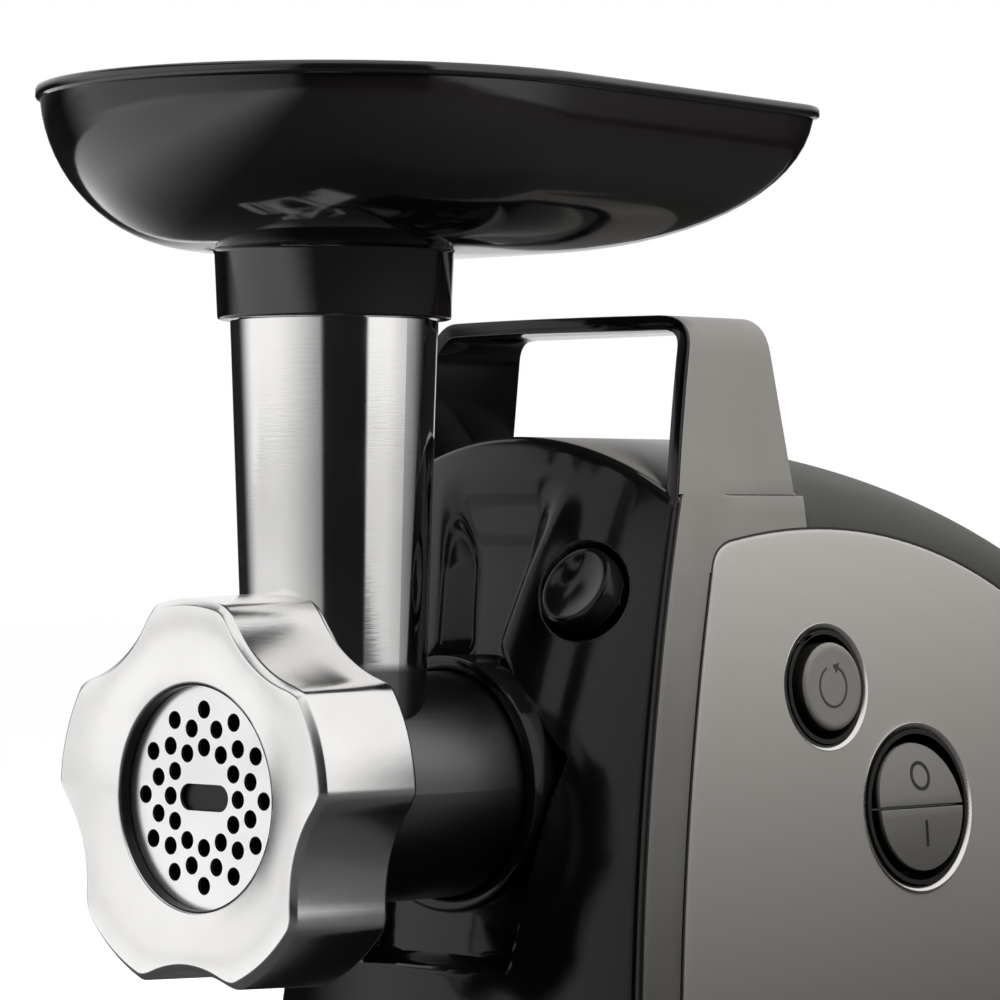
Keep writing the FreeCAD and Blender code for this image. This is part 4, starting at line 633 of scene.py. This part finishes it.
# screwed ring with grip scallops
ringNut = {
    "mouth": -172.0, "back": -140.8, "lipBack": -166.2, "lobes": 5, "points": 300,
    "outerR": 48.9, "draft": 1.0, "scallopFloor": 42.3, "scallopR": 37.0, "soften": 2.6,
    "edge": 1.8, "ease": 0.35,
    "mouthR": 27.9, "dish": 2.7, "threadR": 37.35, "threadEdge": 0.6,
    "mouthEdge": ((0.0, 0.7), (0.25, 0.2), (0.8, -0.05)),              # out and back from the dish
    "lining": ((27.85, -168.95), (27.6, -168.85), (27.6, -166.3), (27.85, -166.3)),    # radius and y of the painted shade lining
}


def lobeR(angle, spare):
    step = math.tau / ringNut["lobes"]
    swing = (angle + step / 2) % step - step / 2      # from a lobe's middle
    away = step / 2 - abs(swing)                      # from the nearest scallop's middle
    reach = ringNut["scallopFloor"] + ringNut["scallopR"] + spare
    inside = ringNut["scallopR"] ** 2 - (reach * math.sin(away)) ** 2
    full = ringNut["outerR"] + spare
    if inside <= 0:
        return full
    scallop = reach * math.cos(away) - math.sqrt(inside)
    blend = max(0.0, 1 - abs(full - scallop) / ringNut["soften"])
    return min(full, scallop) - ringNut["soften"] * blend * blend * 0.25


def makeRingNut():
    angles = [math.tau * k / ringNut["points"] for k in range(ringNut["points"])]

    def turned(radii, y):
        return [(radius * math.sin(a), y, casing["axisZ"] + radius * math.cos(a))
                for radius, a in zip(radii, angles)]

    def lobed(inset, y, spare=0.0):
        return turned([lobeR(angle, spare) - inset for angle in angles], y)

    def circle(radius, y):
        return turned([radius] * len(angles), y)

    front, back, edge, ease = ringNut["mouth"], ringNut["back"], ringNut["edge"], ringNut["ease"]
    mouth, thread, draft = ringNut["mouthR"], ringNut["threadR"], ringNut["draft"]
    dishY = front + ringNut["dish"]
    rings = [circle(thread, ringNut["lipBack"]), circle(mouth, ringNut["lipBack"])]
    rings += [circle(mouth + out, dishY + behind) for out, behind in ringNut["mouthEdge"]]
    rings += [lobed(edge + ease, front), lobed(edge, front + ease * 0.2), lobed(edge - ease, front + ease),
              lobed(ease, front + edge - ease), lobed(ease * 0.2, front + edge),
              lobed(0, front + edge + ease)]
    rings += [lobed(edge * (1 - math.cos(a)), back - edge * (1 - math.sin(a)), draft)
              for a in spaced(0, math.pi / 2, 3) + [math.pi / 2]]
    rings += [circle(thread + ringNut["threadEdge"], back), circle(thread, back - ringNut["threadEdge"])]
    skinPiece(rings, "join", "screwRing", "ring_aluminium", "ring", ["ring_nut"])
    rings = [circle(radius, y) for radius, y in ringNut["lining"]]      # painted shade: dark lining inside the mouth
    skinPiece(rings, "join", "mouthBore", "recess_black", "ring")


# painted shade: dark floor of the plate's slot
slotFloor = {"length": 17.4, "width": 6.4, "y": -164.1, "thick": 0.25, "steps": 16}


def makeSlotShade():
    radius = slotFloor["width"] / 2
    straight = slotFloor["length"] / 2 - radius
    loop = []
    for side in (1, -1):
        for a in spaced(-math.pi / 2, math.pi / 2, slotFloor["steps"]) + [math.pi / 2]:
            x, z = straight + radius * math.cos(a), radius * math.sin(a)
            loop.append((side * x, casing["axisZ"] + side * z))
    levels = (slotFloor["y"], slotFloor["y"] - slotFloor["thick"])
    rings = [[(x, y, z) for x, z in loop] for y in levels]
    skinPiece(rings, "cap", "slotFloor", "recess_black", "screen")


# leaning front with its recess, socket and button bay
front = {
    "across": 150, "up": 220, "edge": 1.6, "wall": 2.4,
    "recessDepth": 8.0, "bevelLow": 3.6, "bevelHigh": 9.0, "bevelFrom": 158.0, "bevelTo": 172.0,
    "fadeFrom": 190.0, "fadeTo": 217.0,          # the recess runs out towards the top
    "recess": ((29, -47), (35, -4), (38.5, 8), (22, 22), (13, 36), (17, 55), (22, 71), (27, 92)),
    "socketR": 30.4, "socketY": -75.0, "socketReach": 60.0,
    "buttonX": 34.0, "buttonZ": 185.0, "buttonLean": 0.52, "bayRimR": 13.2, "bayReach": 14.0,
    "baySteps": ((12.7, 0.3), (11.3, 2.2), (11.3, 6.0)),        # radius, and how far each step goes in
}
socketRing = {
    "y": -83.5, "profile": ((29.6, 20), (29.6, 0.9), (29.9, 0.25), (30.5, 0),
                            (32.3, 0), (32.9, 0.25), (33.2, 0.9), (33.2, 20)),
}


def recessOutline():
    # the right half from the dictionary, and its mirror
    right = [Vector((x, casing["axisZ"] + z)) for x, z in front["recess"]]
    return right + [Vector((-p.x, p.y)) for p in reversed(right)]


def insideBy(place, outline):
    # distance in from the outline, negative outside
    nearest, inside = math.inf, False
    for a, b in zip(outline, outline[1:] + outline[:1]):
        along = b - a
        share = min(1.0, max(0.0, (place - a).dot(along) / along.length_squared))
        nearest = min(nearest, (place - a - along * share).length)
        if (a.y > place.y) != (b.y > place.y):
            if place.x < a.x + (place.y - a.y) / (b.y - a.y) * (b.x - a.x):
                inside = not inside
    return nearest if inside else -nearest


def smoothStep(value):
    value = min(1.0, max(0.0, value))
    return value * value * (3 - 2 * value)


def buttonFrame():
    # local Z stands out of the front along the release button's axis
    lean = math.atan(front["buttonLean"])
    place = Vector((front["buttonX"], frontAt(front["buttonX"], front["buttonZ"]), front["buttonZ"]))
    return Matrix.Translation(place) @ Matrix.Rotation(math.pi / 2 - lean, 4, "X")


def makeFront():
    bm = bmesh.new()
    bmesh.ops.create_grid(bm, x_segments=front["across"], y_segments=front["up"], size=1.0)
    outline = recessOutline()
    half = halfAt(casing["shoulderZ"])
    rise = casing["crestZ"] - casing["shoulderZ"]
    arc = (half * half + rise * rise) / (2 * rise)
    for vert in bm.verts:
        u, v = vert.co.x, (vert.co.y + 1) / 2
        topX = u * half
        topZ = casing["crestZ"] - arc + math.sqrt(arc * arc - topX * topX)
        z = lerp(casing["baseZ"], topZ, v)
        x = u * halfAt(z) if z < casing["shoulderZ"] else u * half
        y = frontAt(x, z)
        near = min(halfAt(z) * (1 - abs(u)), topZ - z, front["edge"])
        y += front["edge"] - math.sqrt(max(0.0, front["edge"] ** 2 - (front["edge"] - near) ** 2))
        bevel = lerp(front["bevelLow"], front["bevelHigh"], smoothStep(
            (z - front["bevelFrom"]) / (front["bevelTo"] - front["bevelFrom"])))
        fade = smoothStep((front["fadeTo"] - z) / (front["fadeTo"] - front["fadeFrom"]))
        y += front["recessDepth"] * fade * smoothStep(insideBy(Vector((x, z)), outline) / bevel)
        vert.co = (x, y, z)
    socket = (0, front["socketY"], casing["axisZ"])
    cutRound(bm, socket, (0, -1, 0), front["socketR"], front["socketReach"], 1)
    stand = buttonFrame()
    axis = (stand.to_3x3() @ Vector((0, 0, 1))).normalized()
    rim = cutRound(bm, stand.translation, axis, front["bayRimR"], front["bayReach"], 2)
    for radius, depth in front["baySteps"]:
        rim = sinkRim(bm, rim, stand.translation, axis, radius, depth)
    finishPiece(bm, "frontShell", "black_gloss", "housing", ["front_shell"], thick=front["wall"])
    matrix = Matrix.Translation((0, socketRing["y"], casing["axisZ"])) @ Matrix.Rotation(-math.pi / 2, 4, "X")
    turnPiece(socketRing["profile"], "socketRing", "black_gloss", "housing", smooth=38, matrix=matrix)


# grey frame: side bands running up into the carry handle, and the crown band
handle = {
    "top": 256.0, "corner": 9.0, "lean": 0.17, "thick": 3.8, "skin": 2.6, "rim": 1.2, "round": 0.9,
    "backLow": -7.3, "backTop": -10.2,
    "bandFront": 2.5, "bandBack": 16.3, "bandThick": 4.4,
    "shoulderLow": 189.6, "shoulderBack": -2.0, "shoulderSlant": 1.9,
    "seamZ": 209.4, "seamHalf": 0.3, "seamSteps": (-0.5, -0.25, 0.0, 0.25, 0.5),
    "groove": 0.5, "grooveStart": 0.35,          # the seam stops short of the front
    "acrossSteps": (0.15, 0.35, 0.38, 0.7),
}
lining = {"gap": 0.05, "back": 0.2, "round": 0.45, "footZ": 206.0, "steps": 14}
crownBand = {"y": -30.0, "soft": 2.0, "lowZ": 204.0, "round": 0.7}


def legHalf(z):
    seam = handle["seamZ"]
    return halfAt(z) if z < seam else halfAt(seam) - handle["lean"] * (z - seam)


def shoulderEnd(z):
    share = (z - handle["shoulderLow"]) / (handle["seamZ"] - handle["shoulderLow"])
    return handle["shoulderBack"] - handle["shoulderSlant"] * min(1.0, share)


def swept(path, loopAt):
    rings = []
    for index, (x, z) in enumerate(path):
        before, after = path[max(0, index - 1)], path[min(len(path) - 1, index + 1)]
        along = Vector((after[0] - before[0], after[1] - before[1])).normalized()
        outward = Vector((along.y, -along.x))
        rings.append([(x - outward.x * inward, y, z - outward.y * inward) for inward, y in loopAt(x, z)])
    return rings


def archPath(levels):
    top, corner = handle["top"], handle["corner"]
    knee = top - corner
    end = (legHalf(top) - corner, top)
    leg = [(legHalf(z), z) for z in levels if z < knee]
    bend = bendPlaces((legHalf(knee), knee), (legHalf(top), top), end, 8)
    right = leg + bend + [(x, top) for x in spaced(end[0], 0, 4)]
    return right + [(0.0, top)] + [(-x, z) for x, z in reversed(right)]


def handleBack(z):
    share = (z - casing["shoulderZ"]) / (handle["top"] - casing["shoulderZ"])
    return lerp(handle["backLow"], handle["backTop"], share)


def greyLoop(x, z):
    seam, low, start = handle["seamZ"], handle["shoulderLow"], handle["grooveStart"]
    near = frontAt(x, z, handle["rim"] if z > seam else handle["bandFront"])
    if z > seam:
        far = handleBack(z)
    else:
        far = shoulderEnd(z) if z > low else frontAt(x, z, handle["bandBack"])
    sunk = handle["groove"] * max(0.0, 1 - abs(z - seam) / handle["seamHalf"])
    soft, skin = handle["round"], handle["skin"] if z > seam else handle["bandThick"]
    outer = [(0.3 * soft, near + 0.1 * soft), (0, near + soft)]
    outer += [(sunk if share > start else 0, lerp(near, far, share)) for share in handle["acrossSteps"]]
    outer += [(sunk, far - soft), (sunk + 0.3 * soft, far - 0.1 * soft), (sunk + soft, far)]
    return outer + [(skin, far), (skin, near), (soft, near)]


def liningLoop(x, z):
    near, thick = frontAt(x, z), handle["thick"]
    step, far = near + handle["rim"] - lining["gap"], handleBack(z) - lining["back"]
    skin = handle["skin"] + lining["gap"]
    corners = [(0, near), (thick, near), (thick, far), (skin, far), (skin, step), (0, step)]
    return softLoop(corners, lining["round"])


def crownLoop(x, z):
    near, far, thick = frontAt(x, z, handle["bandFront"]), shoulderEnd(z), handle["bandThick"]
    return softLoop([(0, near), (thick, near), (thick, far), (0, far)], crownBand["round"])


def makeHandle():
    seam, low, top = handle["seamZ"], handle["shoulderLow"], handle["top"]
    levels = spaced(casing["baseZ"], low, 26) + [low - 0.01, low + 0.01]      # the band steps back at low
    levels += spaced(low, seam - 1.0, 5)[1:]
    levels += [seam + step for step in handle["seamSteps"]]
    levels += spaced(levels[-1], top, 12)[1:]
    rings = swept(archPath(levels), greyLoop)
    skinPiece(rings, "cap", "greyFrame", "frame_grey", "housing", ["carry_handle", "frame_band"])
    rings = swept(archPath(spaced(lining["footZ"], top, lining["steps"])), liningLoop)
    skinPiece(rings, "cap", "handleLining", "black_gloss", "housing")
    crown = [(x, z) for x, z in sectionAt(crownBand["y"], crownBand["soft"]) if z > crownBand["lowZ"]]
    skinPiece(swept(crown, crownLoop), "cap", "crownBand", "frame_grey", "housing")


# dark cover behind the band, and the two round wells in its right side
cover = {
    "soft": 13.0, "wall": 3.0, "stations": 60, "bandGap": 0.3, "shoulderGap": 0.5,
    "settle": 3.0, "settleSteps": (0, 0.3, 0.55, 0.8),        # by this y the edge follows the casing
    "inletR": 8.2, "inletZ": 38.0, "inletSteps": (0.8, 0.6, 0.4, 0.2, 0.07, 0.0),
    "wellGap": 0.3, "wellReach": 12.0,
}
wells = {"reverse": dict(y=0.0, z=159.3, r=15.0), "power": dict(y=34.7, z=126.5, r=20.75)}
sideAxis = Vector((1, 0, casing["sideLean"])).normalized()


def wellPlace(well):
    return Vector((halfAt(well["z"]), well["y"], well["z"]))


def makeCover():
    start = []
    for x, z in sectionAt(casing["rearStart"], cover["soft"]):
        if z > handle["shoulderLow"]:
            y = shoulderEnd(z) + cover["shoulderGap"]
        else:
            y = frontAt(x, z, handle["bandBack"] + cover["bandGap"])
        start.append(Vector((x, y, z)))
    settle = cover["settle"]
    settled = [Vector((x, settle, z)) for x, z in sectionAt(settle, cover["soft"])]
    rings = []
    for share in cover["settleSteps"]:
        rings.append([])
        for a, b in zip(start, settled):
            eased = a.lerp(b, share * share)
            rings[-1].append((eased.x, lerp(a.y, b.y, share), eased.z))
    run = casing["rearEnd"] - settle
    for k in range(cover["stations"] + 1):
        y = settle + run * math.sin(math.pi / 2 * k / cover["stations"])
        rings.append([(x, y, z) for x, z in sectionAt(y, cover["soft"])])
    middle = Vector((0, casing["rearEnd"], cover["inletZ"]))
    rear = [Vector(place) for place in rings[-1]]
    rim = [middle + (place - middle).normalized() * cover["inletR"] for place in rear]
    for share in cover["inletSteps"]:      # the rear closes in on the inlet
        rings.append([tuple(a.lerp(b, share)) for a, b in zip(rim, rear)])
    bm = bmesh.new()
    skinRings(bm, rings)
    low = casing["baseZ"] + 0.01
    floorFaces = [face for face in bm.faces if all(vert.co.z < low for vert in face.verts)]
    bmesh.ops.delete(bm, geom=floorFaces, context="FACES")
    for well in wells.values():
        cutRound(bm, wellPlace(well), sideAxis, well["r"] + cover["wellGap"], cover["wellReach"], 4)
    finishPiece(bm, "mainCover", "cover_grey", "housing", ["main_cover"], thick=cover["wall"])


# side panels, a touch proud of the cover, with a dark seam round each
panel = {
    "low": 12.6, "rear": 180.0, "inset": 16.8, "arcY": 1.2, "arcZ": 8.0, "arcR": 192.7,
    "corner": 10.0, "kneeDrop": 11.0, "cornerEase": 1.0,
    "edge": ((0.0, -2.4), (0.0, -0.5), (0.15, -0.05), (0.5, 0.24), (1.1, 0.3)),     # in, and out
    "middle": (60, 85), "rings": 44, "chamfer": 1.6, "chamferDepth": 2.0,
    "seam": 0.5, "seamProud": 0.14, "seamLow": -0.6,
}
# bright edge of a well, as pairs of distance out from it and height
wellEdge = ((0.1, -1.4), (0.1, -0.9), (0.25, -0.65), (1.5, 0.36),
            (1.7, 0.40), (1.8, 0.30), (1.8, -0.3), (0.6, -1.4))


def panelOutline():
    kneeZ = panel["arcZ"] + panel["arcR"] - panel["kneeDrop"]

    def edgeY(z):
        return frontAt(halfAt(z), z, panel["inset"])

    kneeY = edgeY(kneeZ)
    shoulderY = kneeY + panel["corner"]

    def arcAt(y):
        return panel["arcZ"] + math.sqrt(panel["arcR"] ** 2 - (y - panel["arcY"]) ** 2)

    low, rear, ease = panel["low"], panel["rear"], panel["cornerEase"]
    bottom = [(y, low) for y in spaced(edgeY(low), rear, 40)]
    tail = [(rear, z) for z in spaced(low, arcAt(rear), 14)]
    sweepIn = math.asin((shoulderY - panel["arcY"]) / panel["arcR"])
    sweepOut = math.asin((rear - panel["arcY"]) / panel["arcR"])
    top = [(panel["arcY"] + panel["arcR"] * math.sin(a), panel["arcZ"] + panel["arcR"] * math.cos(a))
           for a in spaced(sweepOut, sweepIn, 70)]
    shoulderZ = arcAt(shoulderY)
    bend = bendPlaces((shoulderY, shoulderZ), (kneeY + ease, shoulderZ - ease), (kneeY, kneeZ), 12)
    edge = [(edgeY(z), z) for z in spaced(kneeZ, low, 40)]
    return [Vector(place) for place in bottom + tail + top + bend + edge]


def drawnIn(outline, reach):
    count = len(outline)
    moved = []
    for index, place in enumerate(outline):
        along = (outline[(index + 1) % count] - outline[index - 1]).normalized()
        moved.append(place + Vector((-along.y, along.x)) * reach)
    return moved


def sidePlaces(places, out):
    return [(halfAt(p.y) - casing["narrowing"] * fallAt(p.x) + out, p.x, p.y) for p in places]


def makeSeam(name, side):
    outline, outer = panelOutline(), drawnIn(panelOutline(), -panel["seam"])
    high, low = panel["seamProud"], panel["seamLow"]
    loops = ((outer, low), (outer, high), (outline, high), (outline, low))
    bm = bmesh.new()
    skinRings(bm, [sidePlaces(places, out) for places, out in loops], "join")
    bmesh.ops.scale(bm, vec=(side, 1, 1), verts=bm.verts)
    finishPiece(bm, name, "recess_black", "housing")


def makePanel(name, side, node):
    outline, middle = panelOutline(), Vector(panel["middle"])
    rings = [sidePlaces(drawnIn(outline, inward), out) for inward, out in panel["edge"]]
    inward, proud = panel["edge"][-1]
    inner = drawnIn(outline, inward)
    for k in range(1, panel["rings"]):
        share = 1 - k / panel["rings"]
        rings.append(sidePlaces([middle.lerp(place, share) for place in inner], proud))
    bm = bmesh.new()
    skinRings(bm, rings, "capLast")
    if side > 0:
        for well in wells.values():
            radius = well["r"] + panel["chamfer"]
            rim = cutRound(bm, wellPlace(well), sideAxis, radius, cover["wellReach"], 4)
            sinkRim(bm, rim, wellPlace(well), sideAxis, radius, panel["chamferDepth"])
    bmesh.ops.scale(bm, vec=(side, 1, 1), verts=bm.verts)
    finishPiece(bm, name, "panel_silver", "housing", [node])


def sideFrame(well):
    # local Z stands out of the side, local X runs down it
    lean = math.atan(casing["sideLean"])
    return Matrix.Translation(wellPlace(well)) @ Matrix.Rotation(math.pi / 2 - lean, 4, "Y")


def makeWellEdges():
    for label, well in wells.items():
        profile = [(well["r"] + out, up) for out, up in wellEdge]
        turnPiece(profile, label + "Edge", "edge_silver", "housing", matrix=sideFrame(well),
                  slot="panel_silver")


# buttons; profiles are (radius, height) pairs, heights from the cap's top
releaseCap = {
    "r": 11.0, "proud": 3.5, "hollow": 1.3, "hollowR": 9.02, "skirt": -3.0, "stemR": 3.5, "stem": -18.0,
    "rim": ((9.6, 0.12), (10.2, -0.05), (10.75, -0.5), (11.0, -1.2)), "bay": -8.5, "travel": 3.0,
}
reverseCap = {
    "r": 11.6, "proud": 3.0, "skirt": -5.0, "stemR": 3.0, "stem": -15.0, "bay": -10.8, "travel": 2.5,
    "face": ((0, -0.35), (5.8, -0.3), (9.28, -0.1), (10.0, 0),
             (10.7, -0.12), (11.3, -0.45), (11.5, -0.9), (0, -0.9)),
    "shoulder": ((0, -0.95), (11.5, -0.95), (11.6, -1.2)),
}


def stemProfile(cap):
    skirt, stem, radius = cap["skirt"], cap["stem"], cap["stemR"]
    return [(cap["r"], skirt), (radius, skirt), (radius, stem), (0, stem)]


def makeCaps():
    top, hollow = releaseCap["proud"], releaseCap["hollow"]
    dish = [(releaseCap["hollowR"] * k / 8, top - hollow * (1 - (k / 8) ** 2)) for k in range(9)]
    rim = [(radius, top + up) for radius, up in releaseCap["rim"]]
    turnPiece(dish + rim + stemProfile(releaseCap), "releaseCap", "black_gloss", "release",
              ["release_button"], smooth=45, matrix=buttonFrame())
    top, stand = reverseCap["proud"], sideFrame(wells["reverse"])
    face, shoulder = ([(radius, top + up) for radius, up in reverseCap[key]] for key in ("face", "shoulder"))
    turnPiece(face, "reverseCap", "button_grey", "reverse", ["reverse_button"], smooth=45, matrix=stand)
    turnPiece(shoulder + stemProfile(reverseCap), "reverseSkirt", "recess_black", "reverse", smooth=45,
              matrix=stand)


# return springs
spring = {"r": 6.0, "wire": 0.4, "turns": 3, "steps": 32, "sides": 10, "seat": 0.05, "gap": 0.3}


def makeSpring(name, node, matrix, cap):
    low, high, wire = cap["bay"], cap["skirt"], spring["wire"]
    start, end = low + wire + spring["seat"], high - wire - spring["gap"]
    count = spring["turns"] * spring["steps"]
    rings = []
    for index in range(count + 1):
        turn, level = math.tau * index / spring["steps"], lerp(start, end, index / count)
        rings.append([])
        for side in range(spring["sides"]):
            roll = math.tau * side / spring["sides"]
            out = spring["r"] + wire * math.cos(roll)
            rings[-1].append((out * math.cos(turn), out * math.sin(turn), level + wire * math.sin(roll)))
    piece = skinPiece(rings, "cap", name, "gear_steel", "housing", [node], smooth=38, matrix=matrix)
    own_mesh(piece)


# power rocker in two halves; pairs are (inset, drop from the top)
rocker = {
    "r": 17.2, "proud": 1.8, "slope": 0.16, "low": -7.0, "gap": 0.25, "steps": 48,
    "face": ((0.1, 0.9), (0.1, 0.5), (0.2, 0.15), (0.5, 0.0)), "skirt": ((0.0, 1.2), (0.2, 0.95)),
}


def rockerTop(x):
    return rocker["proud"] + min(0.0, x) * rocker["slope"]      # the upper half is pressed in


def rockerHalf(sign, inset, drop=None):
    r = rocker["r"] - inset
    swing = math.acos((rocker["gap"] + inset) / r)
    places = []
    for a in spaced(-swing, swing, rocker["steps"]) + [swing]:
        x = sign * r * math.cos(a)
        places.append((x, sign * r * math.sin(a), rocker["low"] if drop is None else rockerTop(x) - drop))
    return places


def makeRocker():
    faces, skirts = bmesh.new(), bmesh.new()
    for sign in (-1, 1):
        skinRings(faces, [rockerHalf(sign, *step) for step in rocker["face"]], "cap")
        sides = [rockerHalf(sign, *step) for step in rocker["skirt"]]
        skinRings(skirts, [rockerHalf(sign, 0)] + sides, "cap")
    stand = sideFrame(wells["power"])
    finishPiece(faces, "rockerHalves", "button_grey", "rocker", ["power_rocker"], smooth=30, matrix=stand)
    finishPiece(skirts, "rockerSkirts", "recess_black", "rocker", smooth=30, matrix=stand)


# marks on the buttons, laid on as thin prints
marks = {
    "thick": 0.12, "sink": 0.02, "steps": 48, "onX": 7.2, "onY": 1.2, "onLength": 7.0, "stroke": 1.0,
    "offX": -8.2, "offY": 1.2, "offR": 4.0,
    "turnR": 5.6, "turnStroke": 0.6, "turnGap": 50.0, "turnDrop": 0.28, "arrow": 1.5, "arrowAhead": 2.1,
}


def printLoop(bm, loop, heightAt):
    low = [(x, y, heightAt(x) - marks["sink"]) for x, y in loop]
    high = [(x, y, heightAt(x) + marks["thick"]) for x, y in loop]
    skinRings(bm, [low, high], "cap")


def printArc(bm, centre, radius, stroke, start, end, heightAt):
    def along(r):
        turns = spaced(start, end, marks["steps"]) + [end]
        return [(centre[0] + r * math.cos(a), centre[1] + r * math.sin(a)) for a in turns]

    printLoop(bm, along(radius) + along(radius - stroke)[::-1], heightAt)


def turnTop(x):
    return reverseCap["proud"] - marks["turnDrop"]


def makeMarks():
    half, length = marks["stroke"] / 2, marks["onLength"] / 2
    low, high = marks["onX"] - length, marks["onX"] + length
    left, right = marks["onY"] - half, marks["onY"] + half
    bm = bmesh.new()
    printLoop(bm, [(low, left), (high, left), (high, right), (low, right)], rockerTop)
    spot = (marks["offX"], marks["offY"])
    for start in (0, math.pi):
        printArc(bm, spot, marks["offR"], marks["stroke"], start, start + math.pi, rockerTop)
    finishPiece(bm, "rockerMarks", "recess_black", "rocker", smooth=30, matrix=sideFrame(wells["power"]))
    gap = math.radians(marks["turnGap"]) / 2
    radius, stroke = marks["turnR"], marks["turnStroke"]
    bm = bmesh.new()
    printArc(bm, (0, 0), radius, stroke, math.pi + gap, 3 * math.pi - gap, turnTop)
    outward = Vector((-math.cos(gap), math.sin(gap)))
    tip, out = outward * (radius - stroke / 2), outward * marks["arrow"]
    ahead = Vector((-math.sin(gap), -math.cos(gap))) * marks["arrowAhead"]
    printLoop(bm, [tuple(tip - out), tuple(tip + ahead), tuple(tip + out)], turnTop)
    finishPiece(bm, "reverseMark", "mark_grey", "reverse", smooth=30, matrix=sideFrame(wells["reverse"]),
                slot="button_grey")


makeTray()
makeRingNut()
makeSlotShade()
makeFront()
makeHandle()
makeCover()
makePanel("panelRight", 1, "side_panel_right")
makePanel("panelLeft", -1, "side_panel_left")
makeSeam("seamRight", 1)
makeSeam("seamLeft", -1)
makeWellEdges()
makeCaps()
makeSpring("releaseCoil", "release_spring", buttonFrame(), releaseCap)
makeSpring("reverseCoil", "reverse_spring", sideFrame(wells["reverse"]), reverseCap)
makeRocker()
makeMarks()
print("pieces made")
